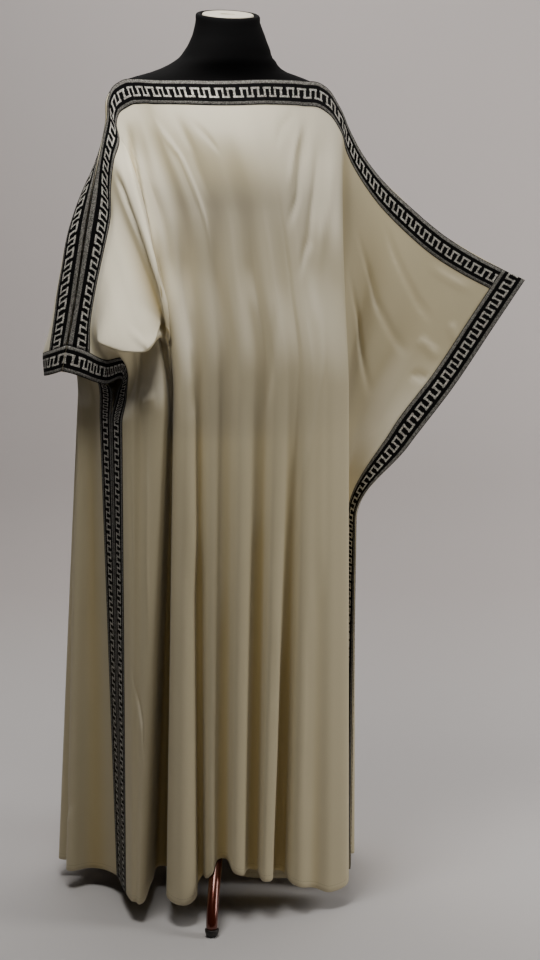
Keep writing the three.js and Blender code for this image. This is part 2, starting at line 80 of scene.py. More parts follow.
# The top edge over the left arm, the front of the neck and the right arm. Columns: s, x, y, z.
FRONT_EDGE = np.array([
    [-670, -268, -105, 948],
    [-555, -245, -88, 1069],
    [-405, -220, -75, 1221],
    [-265, -191, -60, 1360],
    [-205, -176, -56, 1423],
    [-100, -95, -92, 1430],
    [0, 0, -104, 1429],
    [100, 92, -66, 1431],
    [180, 168, 4, 1424],
    [205, 192, 32, 1406],
    [246, 212, 48, 1363],
    [334, 256, 52, 1287],
    [410, 309, 54, 1232],
    [503, 380, 54, 1171],
    [586, 450, 52, 1127],
    [670, 530, 50, 1088],
], dtype=float)

# The top edge round the back of the neck. Columns: s, x, y, z.
BACK_NECK = np.array([
    [-205, -176, -56, 1423],
    [-120, -112, 28, 1437],
    [0, 2, 82, 1437],
    [110, 104, 82, 1435],
    [205, 192, 32, 1406],
], dtype=float)

# Fold lines of the left sleeve and the cloth under it, from the side seam inwards. Columns: s, roundness,
# then x, y, z below the shoulder, at the swag, in the tuck behind it, at the hip and at the hem.
LEFT_FOLDS = np.array([
    [-670, 1.0, -192, -152, 933, -166, -140, 940, -174, -128, 912, -184, -130, 868, -178, -124, 34],
    [-628, 1.0, -190, -155, 974, -158, -166, 976, -155, -158, 914, -163, -160, 866, -168, -164, 36],
    [-580, 1.0, -206, -150, 1008, -187, -202, 1003, -142, -166, 985, -147, -174, 872, -156, -202, 38],
    [-520, 1.0, -202, -146, 1058, -172, -218, 1000, -136, -166, 1022, -131, -170, 880, -148, -206, 38],
    [-450, 1.0, -190, -142, 1108, -146, -222, 998, -122, -168, 1030, -112, -180, 890, -142, -212, 36],
    [-385, 1.0, -174, -134, 1146, -116, -212, 1002, -106, -166, 1022, -92, -176, 885, -134, -200, 38],
    [-335, 1.2, -158, -122, 1196, -100, -172, 1058, -92, -148, 1000, -86, -130, 860, -126, -128, 42],
    [-290, 1.2, -150, -126, 1246, -104, -184, 1116, -86, -168, 1016, -82, -122, 860, -108, -62, 46],
    [-255, 1.2, -140, -110, 1274, -106, -150, 1148, -82, -142, 1045, -77, -138, 880, -94, -150, 48],
])

# Fold lines of the body. Columns: s, roundness, chest x, y, hip x, y, hem x, y, z.
BODY_FOLDS = np.array([
    [-222, 1.4, -108, -136, -74, -166, -88, -220, 46],
    [-190, 1.4, -90, -134, -54, -176, -52, -224, 44],
    [-160, 1.3, -66, -132, -36, -158, -38, -176, 70],
    [-130, 1.4, -38, -141, -14, -168, -20, -214, 88],
    [-95, 1.3, -16, -139, 12, -157, 0, -190, 112],
    [-55, 1.4, 12, -143, 38, -169, 27, -216, 92],
    [-15, 1.3, 38, -138, 70, -150, 54, -172, 84],
    [25, 1.4, 66, -137, 98, -159, 76, -204, 74],
    [65, 1.3, 92, -126, 122, -139, 99, -142, 70],
    [105, 1.3, 116, -115, 146, -137, 126, -180, 58],
    [145, 1.2, 140, -98, 170, -118, 160, -158, 44],
    [185, 1.3, 170, -76, 194, -102, 192, -152, 34],
    [225, 1.4, 206, -42, 217, -70, 222, -114, 44],
])

# Fold lines of the right sleeve and the cloth behind the body's last fold, out to the side seam. Columns: s,
# roundness, then x, y, z at the chest, the waist, the hip and the hem.
RIGHT_FOLDS = np.array([
    [265, 1.2, 192, 10, 1140, 188, 4, 1040, 186, -28, 862, 192, -96, 48],
    [310, 1.0, 216, 34, 1092, 204, 26, 985, 180, -8, 790, 128, -112, 44],
    [370, 1.0, 242, 52, 1040, 220, 42, 935, 188, 10, 740, 32, -96, 40],
    [440, 1.0, 264, 50, 1000, 232, 42, 896, 198, 20, 712, 22, -52, 38],
    [510, 1.0, 298, 58, 968, 254, 46, 862, 210, 18, 694, 118, -46, 38],
    [575, 1.0, 334, 54, 948, 278, 42, 840, 214, 8, 680, 166, -52, 40],
    [628, 1.0, 374, 50, 926, 298, 36, 824, 220, 0, 676, 190, -60, 42],
    [670, 1.0, 408, 44, 900, 328, 28, 796, 234, -12, 670, 226, -68, 42],
])

# Sections of the back panel. Columns: s, then x, y, z below the shoulder, at the blades, the waist, the hip
# and the hem.
BACK_SECTIONS = np.array([
    [-670, -304, -52, 934, -286, 10, 932, -186, -118, 924, -184, -130, 868, -178, -124, 34],
    [-628, -304, -52, 972, -291, 18, 966, -212, -84, 932, -206, -92, 866, -190, -84, 36],
    [-540, -292, -48, 1020, -282, 28, 1000, -254, 6, 962, -236, -50, 872, -256, -58, 36],
    [-430, -266, -44, 1128, -258, 38, 1048, -244, 44, 1000, -243, 0, 890, -284, 10, 34],
    [-320, -232, -30, 1238, -214, 66, 1130, -206, 84, 1058, -220, 60, 900, -262, 90, 34],
    [-220, -166, 32, 1336, -156, 92, 1190, -152, 104, 1090, -165, 104, 900, -190, 155, 34],
    [-110, -92, 88, 1348, -78, 112, 1205, -76, 118, 1090, -85, 126, 900, -100, 190, 32],
    [0, 2, 112, 1348, 0, 120, 1208, 0, 126, 1093, 0, 132, 900, 0, 205, 30],
    [110, 94, 112, 1346, 78, 122, 1205, 78, 126, 1090, 85, 130, 900, 98, 192, 32],
    [220, 174, 88, 1318, 152, 116, 1190, 152, 118, 1085, 160, 118, 880, 176, 172, 34],
    [320, 230, 76, 1200, 210, 100, 1090, 202, 102, 985, 206, 86, 790, 212, 118, 36],
    [430, 300, 74, 1118, 272, 98, 1002, 238, 96, 900, 222, 62, 730, 216, 40, 38],
    [540, 378, 72, 1056, 332, 88, 952, 282, 80, 856, 228, 32, 690, 220, 0, 40],
    [628, 446, 64, 1020, 388, 72, 926, 314, 60, 824, 234, 14, 674, 226, -34, 42],
    [670, 470, 56, 994, 408, 60, 900, 332, 46, 798, 234, -12, 670, 226, -68, 42],
], dtype=float)
BACK_FOLD_STEP = 42.0
BACK_FOLD_REACH = 560.0
BACK_FOLD_DEPTH = np.array([0, 2, 4, 5, 9, 15, 20], dtype=float)
BACK_FOLD_ROUND = 1.3
HULL_STEP = 20.0

# Rings of the form. Columns: z, half width, half depth, forward shift.
FORM_RINGS = np.array([
    [850, 146, 104, 8],
    [862, 154, 112, 8],
    [930, 156, 114, 8],
    [1010, 140, 104, 4],
    [1090, 128, 96, 4],
    [1170, 142, 104, 10],
    [1240, 156, 110, 14],
    [1320, 160, 94, 10],
    [1380, 168, 78, 4],
    [1412, 160, 64, -2],
    [1432, 132, 54, -4],
    [1446, 92, 52, -4],
    [1462, 64, 54, 0],
    [1484, 57, 55, 4],
    [1528, 55, 55, 8],
], dtype=float)


def unit(vectors: np.ndarray) -> np.ndarray:
    """Vectors of length one, along the last axis."""
    lengths = np.linalg.norm(vectors, axis=-1, keepdims=True)
    return vectors / np.maximum(lengths, 1e-12)


def headings(points: np.ndarray) -> np.ndarray:
    """The unit direction of a line of points at each of them, from the point before to the one after."""
    ahead = np.concatenate([points[1:], points[-1:]])
    behind = np.concatenate([points[:1], points[:-1]])
    return unit(ahead - behind)


def smooth_step(values: np.ndarray) -> np.ndarray:
    """0 below 0 and 1 above 1, with a level start and end: 3x squared minus 2x cubed between."""
    x = np.clip(values, 0, 1)
    return x * x * (3 - 2 * x)


def bow(a: np.ndarray, b: np.ndarray, da: np.ndarray, db: np.ndarray, t: np.ndarray,
        round_a: np.ndarray | float = 1.0, round_b: np.ndarray | float = 1.0) -> np.ndarray:
    """A cubic from a to b.

    The end slopes are the unit directions da and db times the chord from a to b times a roundness.

    Args:
        a: Start points.
        b: End points.
        da: Unit directions at the start.
        db: Unit directions at the end.
        t: Place between them, from 0 to 1.
        round_a: Roundness at the start.
        round_b: Roundness at the end.

    Returns:
        The points at t.
    """
    chord = np.linalg.norm(b - a, axis=-1, keepdims=True)
    t2 = t * t
    t3 = t2 * t
    ends = (2 * t3 - 3 * t2 + 1) * a + (3 * t2 - 2 * t3) * b
    return ends + (t3 - 2 * t2 + t) * chord * round_a * da + (t3 - t2) * chord * round_b * db


def along(table: np.ndarray, places: np.ndarray) -> np.ndarray:
    """Points of a smooth line through a table whose first column is the place along it.

    Args:
        table: Rows of place, x, y, z.
        places: Where along the line the points are wanted.

    Returns:
        One point for each place.
    """
    marks, points = table[:, 0], table[:, 1:4]
    slopes = headings(points)
    i = np.clip(np.searchsorted(marks, places), 1, len(marks) - 1) - 1
    t = ((places - marks[i]) / (marks[i + 1] - marks[i]))[:, None]
    return bow(points[i], points[i + 1], slopes[i], slopes[i + 1], t)


def fold_lines(top: np.ndarray, shoulder: np.ndarray, chest: np.ndarray, waist: np.ndarray,
               hip: np.ndarray, hem: np.ndarray) -> np.ndarray:
    """The seven places of each fold line; the knee lies on the straight line from the hip to the hem."""
    share = (LEVELS[KNEE] - LEVELS[HIP]) / (LEVELS[HEM] - LEVELS[HIP])
    knee = hip + (hem - hip) * share
    return np.stack([top, shoulder, chest, waist, hip, knee, hem], axis=1)


@dataclass
class Crease:
    """A soft trough (negative depth) or ridge drawn on the flat cloth as a line of s, d places.

    Attributes:
        path: Places on the cloth, in millimetres across and down.
        width: Distance from the line at which it has faded to about a third.
        depth: Height of its middle above the cloth.
        ends: Share of its length over which each end fades in.
    """

    path: tuple[tuple[float, float], ...]
    width: float
    depth: float
    ends: float = 0.35

    def height(self, s: np.ndarray, d: np.ndarray) -> np.ndarray:
        """The crease's height over a grid of the cloth.

        Each place takes its distance to the nearest stretch of the line. The height is the depth times a bell
        curve of that distance over the width, times a smooth fade towards both ends of the line.

        Args:
            s: Places across, one for each column.
            d: Places down, one for each row.

        Returns:
            Heights, columns by rows.
        """
        place = np.stack(np.meshgrid(s, d, indexing="ij"), axis=-1)
        marks = np.array(self.path, dtype=float)
        runs = np.linalg.norm(np.diff(marks, axis=0), axis=1)
        done = np.concatenate([[0], np.cumsum(runs)]) / runs.sum()
        nearest = np.full(place.shape[:2], np.inf)
        where = np.zeros(place.shape[:2])
        for a, b, start, end in zip(marks[:-1], marks[1:], done[:-1], done[1:]):
            run = b - a
            t = np.clip(((place - a) @ run) / (run @ run), 0, 1)
            gap = np.linalg.norm(place - a - t[..., None] * run, axis=-1)
            closer = gap < nearest
            nearest = np.where(closer, gap, nearest)
            where = np.where(closer, start + (end - start) * t, where)
        fade = smooth_step(where / self.ends) * smooth_step((1 - where) / self.ends)
        return self.depth * np.exp(-((nearest / self.width) ** 2)) * fade


@dataclass
class Grid:
    """Points of a cloth surface in columns and rows, with their normals and places on the flat cloth."""

    s: np.ndarray
    d: np.ndarray
    points: np.ndarray
    normals: np.ndarray

    def lifted(self, distance: float | np.ndarray) -> np.ndarray:
        """The points moved out along their normals."""
        return self.points + self.normals * np.asarray(distance)[..., None]

    def part(self, columns: np.ndarray, rows: np.ndarray) -> "Grid":
        """The stretch of the grid in the chosen columns and rows."""
        pick = np.ix_(columns, rows)
        return Grid(self.s[columns], self.d[rows], self.points[pick], self.normals[pick])


class Side(Enum):
    """The two panels: which way the outer face turns, and which way its seam edges stay apart."""

    FRONT = 1
    BACK = -1

    @property
    def seam_sign(self) -> int:
        """The front stays towards -Y of a seam and the back towards +Y."""
        return -self.value


@dataclass
class Panel:
    """A rectangular panel hung as a surface through fold lines.

    Attributes:
        side: Front or back.
        creases: The soft creases pressed into it.
        cell: Largest step across between two columns of points.
        marks: Shares of the length at which rows of points lie for certain, where ribbons start and end.
        rows: Steps down from each mark to the next.
    """

    side: Side
    creases: tuple[Crease, ...] = ()
    cell: float = 5.4
    marks: tuple[float, ...] = (0, RIBBON_WIDTH / PANEL_LENGTH, 0.16, 0.24, 0.36, 1)
    rows: tuple[int, ...] = (6, 26, 18, 24, 114)

    def edge(self, s: np.ndarray) -> np.ndarray:
        """The panel's top edge, kept half a wall away from the other panel's along the overarm seams."""
        neck = self.side is Side.BACK
        line = along(FRONT_EDGE, s)
        if neck:
            line = np.where((np.abs(s) < NECK_SEAM_S)[:, None], along(BACK_NECK, s), line)
        apart = self.side.seam_sign * (CLOTH_THICKNESS + SEAM_GAP) * SEAM_SHARE
        left = (s < -HALF_NECK)[:, None] * LEFT_SEAM_RUN * apart
        right = (s > HALF_NECK)[:, None] * np.array([0, apart, 0])
        return line + left + right

    def front_lines(self) -> tuple[np.ndarray, np.ndarray, np.ndarray]:
        """The front's fold lines, from the three tables.

        Returns:
            Places across, roundness and the lines' seven places.
        """
        left, body, right = LEFT_FOLDS, BODY_FOLDS, RIGHT_FOLDS
        left_lines = fold_lines(self.edge(left[:, 0]), *(left[:, k:k + 3] for k in (2, 5, 8, 11, 14)))

        top = self.edge(body[:, 0])
        heights = top[:, 2:] + (body[:, 8:9] - top[:, 2:]) * LEVELS
        chest = np.column_stack([body[:, 2:4], heights[:, CHEST]])
        hip = np.column_stack([body[:, 4:6], heights[:, HIP]])
        waist = chest + (hip - chest) * (LEVELS[WAIST] - LEVELS[CHEST]) / (LEVELS[HIP] - LEVELS[CHEST])
        body_lines = fold_lines(top, self.shoulder(body[:, 0], top, chest), chest, waist, hip, body[:, 6:9])

        top = self.edge(right[:, 0])
        chest = right[:, 2:5]
        below = (right[:, k:k + 3] for k in (5, 8, 11))
        right_lines = fold_lines(top, self.shoulder(right[:, 0], top, chest), chest, *below)
        tables = (left, body, right)
        s = np.concatenate([table[:, 0] for table in tables])
        rounds = np.concatenate([table[:, 1] for table in tables])
        return s, rounds, np.concatenate([left_lines, body_lines, right_lines])

    @staticmethod
    def shoulder(s: np.ndarray, top: np.ndarray, chest: np.ndarray) -> np.ndarray:
        """Places between the top edge and the chest, forward by a squared cosine of s near the middle."""
        bulge = np.where(np.abs(s) < SHOULDER_REACH, np.cos(s / SHOULDER_REACH * math.pi / 2) ** 2, 0)
        point = top + (chest - top) * LEVELS[SHOULDER] / LEVELS[CHEST]
        point[:, 1] -= SHOULDER_ROUND * bulge
        return point

    def back_lines(self) -> tuple[np.ndarray, np.ndarray, np.ndarray]:
        """The back's fold lines: a smooth hull, moved out to a crest or in to a valley in turn.

        Returns:
            Places across, roundness and the lines' seven places.
        """
        def hull(s: np.ndarray) -> np.ndarray:
            """The hull's lines at places s."""
            tables = [BACK_SECTIONS[:, [0, k, k + 1, k + 2]] for k in (1, 4, 7, 10, 13)]
            return fold_lines(self.edge(s), *(along(table, s) for table in tables))

        folded = np.arange(-BACK_FOLD_REACH, BACK_FOLD_REACH + 1, BACK_FOLD_STEP)
        run = hull(folded + HULL_STEP) - hull(folded - HULL_STEP)
        out = unit(np.stack([-run[..., 1], run[..., 0], np.zeros_like(run[..., 0])], axis=-1))
        sign = np.where(np.arange(len(folded)) % 2, 1.0, -1.0)
        lines = hull(folded) + out * sign[:, None, None] * BACK_FOLD_DEPTH[:, None]
        ends = np.array([-HALF_WIDTH, -RIBBON_LINE, RIBBON_LINE, HALF_WIDTH])
        plain = hull(ends)
        s = np.concatenate([ends[:2], folded, ends[2:]])
        rounds = np.concatenate([[1, 1], np.full(len(folded), BACK_FOLD_ROUND), [1, 1]])
        return s, rounds, np.concatenate([plain[:2], lines, plain[2:]])

    def surface(self, marks: np.ndarray, rounds: np.ndarray, lines: np.ndarray,
                s: np.ndarray, v: np.ndarray) -> np.ndarray:
        """Points of the panel over a grid: smooth down each fold line, then smooth across from line to line.

        Args:
            marks: The fold lines' places across.
            rounds: The fold lines' roundness.
            lines: The fold lines' seven places.
            s: Places across that are wanted, one for each column.
            v: Shares of the length that are wanted, one for each row.

        Returns:
            Points, columns by rows.
        """
        slopes = np.swapaxes(headings(np.swapaxes(lines, 0, 1)), 0, 1).copy()
        slopes[:, HIP] = unit(lines[:, KNEE] - lines[:, HIP])
        turn = smooth_step((SLEEVE_FROM - marks) / (SLEEVE_FROM - SLEEVE_TO))[:, None]
        run = SLEEVE_RUN[self.side.value] * SLEEVE_ROUND
        slopes[:, 0] = slopes[:, 0] * (1 - turn) + run * turn
        i = np.clip(np.searchsorted(LEVELS, v, side="left"), 1, len(LEVELS) - 1) - 1
        t = ((v - LEVELS[i]) / (LEVELS[i + 1] - LEVELS[i]))[None, :, None]
        down = bow(lines[:, i], lines[:, i + 1], slopes[:, i], slopes[:, i + 1], t)
        across = headings(down)
        k = np.clip(np.searchsorted(marks, s, side="left"), 1, len(marks) - 1) - 1
        t = ((s - marks[k]) / (marks[k + 1] - marks[k]))[:, None, None]
        round_a, round_b = rounds[k][:, None, None], rounds[k + 1][:, None, None]
        return bow(down[k], down[k + 1], across[k], across[k + 1], t, round_a, round_b)

    def grid(self) -> Grid:
        """The panel's fine grid, with its creases pressed in along the normals."""
        marks, rounds, lines = self.front_lines() if self.side is Side.FRONT else self.back_lines()
        steps = np.maximum(np.ceil(np.diff(marks) / self.cell).astype(int), 1)
        columns = [np.linspace(a, b, n, endpoint=False) for a, b, n in zip(marks[:-1], marks[1:], steps)]
        s = np.concatenate([*columns, marks[-1:]])
        heights = [np.linspace(a, b, n, endpoint=False)
                   for a, b, n in zip(self.marks[:-1], self.marks[1:], self.rows)]
        v = np.concatenate([*heights, [1.0]])
        points = self.surface(marks, rounds, lines, s, v)
        d = v * PANEL_LENGTH
        height = sum((crease.height(s, d) for crease in self.creases), np.zeros((len(s), len(d))))
        points = points + self.normals(points) * height[..., None]
        return Grid(s, d, points, self.normals(points))

    def normals(self, points: np.ndarray) -> np.ndarray:
        """Outward unit normals: the way down the cloth crossed with the way across it."""
        across = np.gradient(points, axis=0)
        down = np.gradient(points, axis=1)
        return unit(np.cross(down, across) * self.side.value)


def quads_of(columns: int, rows: int, start: int = 0, closed: bool = False) -> np.ndarray:
    """Four-sided faces of a grid whose vertices run down each column in turn.

    Args:
        columns: Number of columns.
        rows: Number of rows.
        start: Number of the first vertex.
        closed: Whether the last column joins the first.

    Returns:
        Faces, four vertex numbers each.
    """
    number = start + np.arange(columns * rows).reshape(columns, rows)
    if closed:
        number = np.concatenate([number, number[:1]])
    corners = [number[:-1, :-1], number[:-1, 1:], number[1:, 1:], number[1:, :-1]]
    return np.stack(corners, axis=-1).reshape(-1, 4)


def facing_out(vertices: np.ndarray, faces: np.ndarray) -> np.ndarray:
    """The faces of a closed body, turned round if its signed volume is negative."""
    a, b, c, d = (vertices[faces[:, k]] for k in range(4))
    volume = np.einsum("ij,ij->i", a, np.cross(b, c) + np.cross(c, d)).sum()
    return faces if volume > 0 else faces[:, ::-1]


def new_piece(name: str, vertices: np.ndarray, faces: np.ndarray, uv: np.ndarray | None = None,
              values: dict[str, np.ndarray] | None = None) -> bpy.types.Object:
    """Puts arrays into a mesh object at the origin.

    Args:
        name: The piece's name.
        vertices: Points in millimetres, in the pattern's place.
        faces: Four vertex numbers for each face; a face of three repeats its last.
        uv: Places on the flat cloth in metres, one for each vertex.
        values: Named numbers, one for each vertex.

    Returns:
        The object.
    """
    mesh = bpy.data.meshes.new(name)
    placed = (vertices + PLACE) * MM
    three = faces[:, 2] == faces[:, 3]
    totals = np.where(three, 3, 4)
    keep = np.ones(faces.shape, dtype=bool)
    keep[three, 3] = False
    loops = faces[keep]
    mesh.vertices.add(len(placed))
    mesh.vertices.foreach_set("co", placed.astype(np.float32).ravel())
    mesh.loops.add(len(loops))
    mesh.loops.foreach_set("vertex_index", loops.astype(np.int32))
    mesh.polygons.add(len(faces))
    starts = np.concatenate([[0], np.cumsum(totals)[:-1]])
    mesh.polygons.foreach_set("loop_start", starts.astype(np.int32))
    mesh.polygons.foreach_set("loop_total", totals.astype(np.int32))
    mesh.polygons.foreach_set("use_smooth", np.ones(len(faces), dtype=bool))
    mesh.update(calc_edges=True)
    if uv is not None:
        layer = mesh.uv_layers.new(name="cloth")
        layer.data.foreach_set("uv", uv[loops].astype(np.float32).ravel())
    for key, numbers in (values or {}).items():
        attribute = mesh.attributes.new(key, "FLOAT", "POINT")
        attribute.data.foreach_set("value", numbers.astype(np.float32).ravel())
    mesh.validate()
    piece = bpy.data.objects.new(name, mesh)
    bpy.context.scene.collection.objects.link(piece)
    return piece


def cloth_place() -> np.ndarray:
    """How far the pattern's place lies from the frame's, read from where the stand's pole is."""
    low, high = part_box("stand_pole")
    middle = [(low[k] + high[k]) / 2 / MM - STAND_PLACE[k] for k in range(2)]
    return np.array([*middle, 0.0])


PLACE = cloth_place()


def shell(name: str, grid: Grid, low: float | np.ndarray, high: float | np.ndarray, uv: np.ndarray,
          values: dict[str, np.ndarray] | None = None) -> bpy.types.Object:
    """A closed thin wall between two heights over a grid.

    Args:
        name: The piece's name.
        grid: The cloth it follows.
        low: Height of the inner face.
        high: Height of the outer face.
        uv: Places in metres for the grid's points.
        values: Named numbers for the grid's points.

    Returns:
        The object.
    """
    columns, rows = grid.points.shape[:2]
    count = columns * rows
    vertices = np.concatenate([grid.lifted(high).reshape(-1, 3), grid.lifted(low).reshape(-1, 3)])
    outer = quads_of(columns, rows)
    inner = quads_of(columns, rows, count)[:, ::-1]
    number = np.arange(count).reshape(columns, rows)
    rim = np.concatenate([number[:, 0], number[-1, 1:], number[-2::-1, -1], number[0, -2:0:-1]])
    after = np.roll(rim, -1)
    sides = np.stack([rim, after, after + count, rim + count], axis=-1)
    faces = facing_out(vertices, np.concatenate([outer, inner, sides]))
    flat = uv.reshape(-1, 2)
    twice = {key: np.concatenate([numbers.ravel()] * 2) for key, numbers in (values or {}).items()}
    return new_piece(name, vertices, faces, np.concatenate([flat, flat]), twice)


def turned(name: str, rings: np.ndarray) -> bpy.types.Object:
    """A closed body through rings of points, with a lid of thin triangles at each end.

    Args:
        name: The piece's name.
        rings: Ring by point by xyz.

    Returns:
        The object.
    """
    count, sides = rings.shape[:2]
    vertices = np.concatenate([rings.reshape(-1, 3), rings[:1].mean(axis=1), rings[-1:].mean(axis=1)])
    number = np.arange(count * sides).reshape(count, sides)
    wall = quads_of(sides, count, closed=True)
    by_ring = number.T.reshape(-1)
    wall = by_ring[wall]
    bottom, top = count * sides, count * sides + 1
    first, last = number[0], number[-1]
    low = np.stack([first, np.roll(first, -1), np.full(sides, bottom)], axis=-1)
    high = np.stack([np.roll(last, -1), last, np.full(sides, top)], axis=-1)
    lids = np.concatenate([low, high])
    lids = np.column_stack([lids, lids[:, 2]])
    faces = facing_out_body(vertices, np.concatenate([wall, lids]))
    return new_piece(name, vertices, faces)


def facing_out_body(vertices: np.ndarray, faces: np.ndarray) -> np.ndarray:
    """As facing_out, keeping a face of three's repeated corner at its end."""
    if facing_out(vertices, faces) is faces:
        return faces
    three = faces[:, 2] == faces[:, 3]
    flipped = faces[:, ::-1].copy()
    flipped[three] = faces[three][:, [1, 0, 2, 3]]
    return flipped


class Nodes:
    """A node tree, with short calls that add and join its nodes."""

    def __init__(self, tree: bpy.types.NodeTree) -> None:
        """Takes the tree to build in."""
        self.tree = tree

    def add(self, kind: str, inputs: dict[str, object] | None = None, **settings: object) -> bpy.types.Node:
        """Adds a node.

        Args:
            kind: Its type's name.
            inputs: A value or a socket for each named input.
            settings: The node's own properties.

        Returns:
            The node.
        """
        node = self.tree.nodes.new(kind)
        for key, value in settings.items():
            setattr(node, key, value)
        for key, value in (inputs or {}).items():
            self.feed(node.inputs[key], value)
        return node

    def feed(self, socket: bpy.types.NodeSocket, value: object) -> None:
        """Links a socket to an input, or sets the input's own value."""
        if isinstance(value, bpy.types.NodeSocket):
            self.tree.links.new(value, socket)
        else:
            socket.default_value = value

    def value(self, operation: str, *values: object) -> bpy.types.NodeSocket:
        """The result of a Math node of the values, as its output socket."""
        node = self.tree.nodes.new("ShaderNodeMath")
        node.operation = operation
        for socket, value in zip(node.inputs, values):
            self.feed(socket, value)
        return node.outputs[0]

    def mix(self, factor: object, a: object, b: object) -> bpy.types.NodeSocket:
        """A colour between a and b, as its output socket."""
        node = self.tree.nodes.new("ShaderNodeMix")
        node.data_type = "RGBA"
        self.feed(node.inputs[0], factor)
        self.feed(node.inputs[6], a)
        self.feed(node.inputs[7], b)
        return node.outputs[2]

    def band(self, value: object, middle: float, half: float, soft: float) -> bpy.types.NodeSocket:
        """1 within half of the middle, falling to 0 over the soft width."""
        away = self.value("ABSOLUTE", self.value("SUBTRACT", value, middle))
        ramp = self.add("ShaderNodeMapRange", {"Value": away, "From Min": half + soft / 2,
                                               "From Max": half - soft / 2}, interpolation_type="SMOOTHSTEP")
        return ramp.outputs[0]


def colour(red: float, green: float, blue: float) -> tuple[float, float, float, float]:
    """A colour given as it shows on a screen, from 0 to 255, as the shader's linear values."""
    values = np.array([red, green, blue]) / 255
    linear = np.where(values <= 0.04045, values / 12.92, ((values + 0.055) / 1.055) ** 2.4)
    return (*linear.tolist(), 1.0)


def group(name: str, inputs: dict[str, tuple[str, object]], outputs: dict[str, str]
          ) -> tuple[bpy.types.NodeTree, Nodes, bpy.types.Node, bpy.types.Node]:
    """Starts a shader node group.

    Args:
        name: The group's name.
        inputs: For each input, its socket type and its first value.
        outputs: For each output, its socket type.

    Returns:
        The group, its node calls, its input node and its output node.
    """
    tree = bpy.data.node_groups.new(name, "ShaderNodeTree")
    for key, (kind, value) in inputs.items():
        socket = tree.interface.new_socket(key, in_out="INPUT", socket_type=kind)
        if value is not None:
            socket.default_value = value
    for key, kind in outputs.items():
        tree.interface.new_socket(key, in_out="OUTPUT", socket_type=kind)
    nodes = Nodes(tree)
    return tree, nodes, nodes.add("NodeGroupInput"), nodes.add("NodeGroupOutput")


def weave_group() -> bpy.types.NodeTree:
    """The small relief and painted shade of a cloth: crossed threads made uneven by noise.

    Two sets of waves cross at right angles, each a thread apart, and a noise of a few threads' size breaks
    them up. The height is their mean, and the shade follows it as painted shade, darker where the threads lie
    low.
    """
    tree, nodes, start, end = group("weave", {
        "Place": ("NodeSocketVector", None),
        "Threads": ("NodeSocketFloat", 900.0),
        "Uneven": ("NodeSocketFloat", 0.5),
    }, {"Height": "NodeSocketFloat", "Shade": "NodeSocketFloat"})
    place, threads, uneven = start.outputs[0], start.outputs[1], start.outputs[2]
    split = nodes.add("ShaderNodeSeparateXYZ")
    nodes.feed(split.inputs[0], place)
    pitch = nodes.value("MULTIPLY", threads, math.tau)
    first = nodes.value("SINE", nodes.value("MULTIPLY", split.outputs[0], pitch))
    second = nodes.value("SINE", nodes.value("MULTIPLY", split.outputs[1], pitch))
    weave = nodes.value("MULTIPLY", first, second)
    clumps = nodes.value("MULTIPLY", threads, 0.35)
    crinkle = nodes.add("ShaderNodeTexNoise", {"Vector": place, "Scale": clumps, "Detail": 3.0,
                                               "Roughness": 0.6})
    height = nodes.value("ADD", nodes.value("MULTIPLY", weave, 0.25),
                       nodes.value("MULTIPLY", crinkle.outputs[0], uneven))
    # Painted shade: the tone follows the threads' height.
    shade = nodes.add("ShaderNodeMapRange", {"Value": height, "From Min": -0.2, "From Max": 0.8,
                                             "To Min": 0.0, "To Max": 1.0})
    nodes.feed(end.inputs[0], height)
    nodes.feed(end.inputs[1], shade.outputs[0])
    return tree


def mottle_group() -> bpy.types.NodeTree:
    """Slow changes of tone over a surface, as a value near one."""
    tree, nodes, start, end = group("mottle", {
        "Place": ("NodeSocketVector", None),
        "Scale": ("NodeSocketFloat", 6.0),
        "Strength": ("NodeSocketFloat", 0.05),
    }, {"Tone": "NodeSocketFloat"})
    noise = nodes.add("ShaderNodeTexNoise", {"Vector": start.outputs[0], "Scale": start.outputs[1],
                                             "Detail": 4.0, "Roughness": 0.55})
    centred = nodes.value("SUBTRACT", noise.outputs[0], 0.5)
    tone = nodes.value("ADD", nodes.value("MULTIPLY", centred, start.outputs[2]), 1.0)
    nodes.feed(end.inputs[0], tone)
    return tree


class Groups:
    """The shared node groups, each built once."""

    def __init__(self) -> None:
        """Builds the groups."""
        self.weave = weave_group()
        self.mottle = mottle_group()


def new_material(name: str) -> tuple[bpy.types.Material, Nodes, bpy.types.Node]:
    """An empty material with a Principled BSDF.

    Args:
        name: The material's name.

    Returns:
        The material, its node calls and its Principled node.
    """
    material = bpy.data.materials.new(name)
    material.use_nodes = True
    material.node_tree.nodes.clear()
    nodes = Nodes(material.node_tree)
    principled = nodes.add("ShaderNodeBsdfPrincipled")
    output = nodes.add("ShaderNodeOutputMaterial")
    nodes.feed(output.inputs["Surface"], principled.outputs[0])
    return material, nodes, principled


def scaled(nodes: Nodes, base: object, tone: object) -> bpy.types.NodeSocket:
    """A colour multiplied by a value."""
    node = nodes.tree.nodes.new("ShaderNodeVectorMath")
    node.operation = "SCALE"
    nodes.feed(node.inputs[0], base if isinstance(base, bpy.types.NodeSocket) else base[:3])
    nodes.feed(node.inputs["Scale"], tone)
    return node.outputs[0]


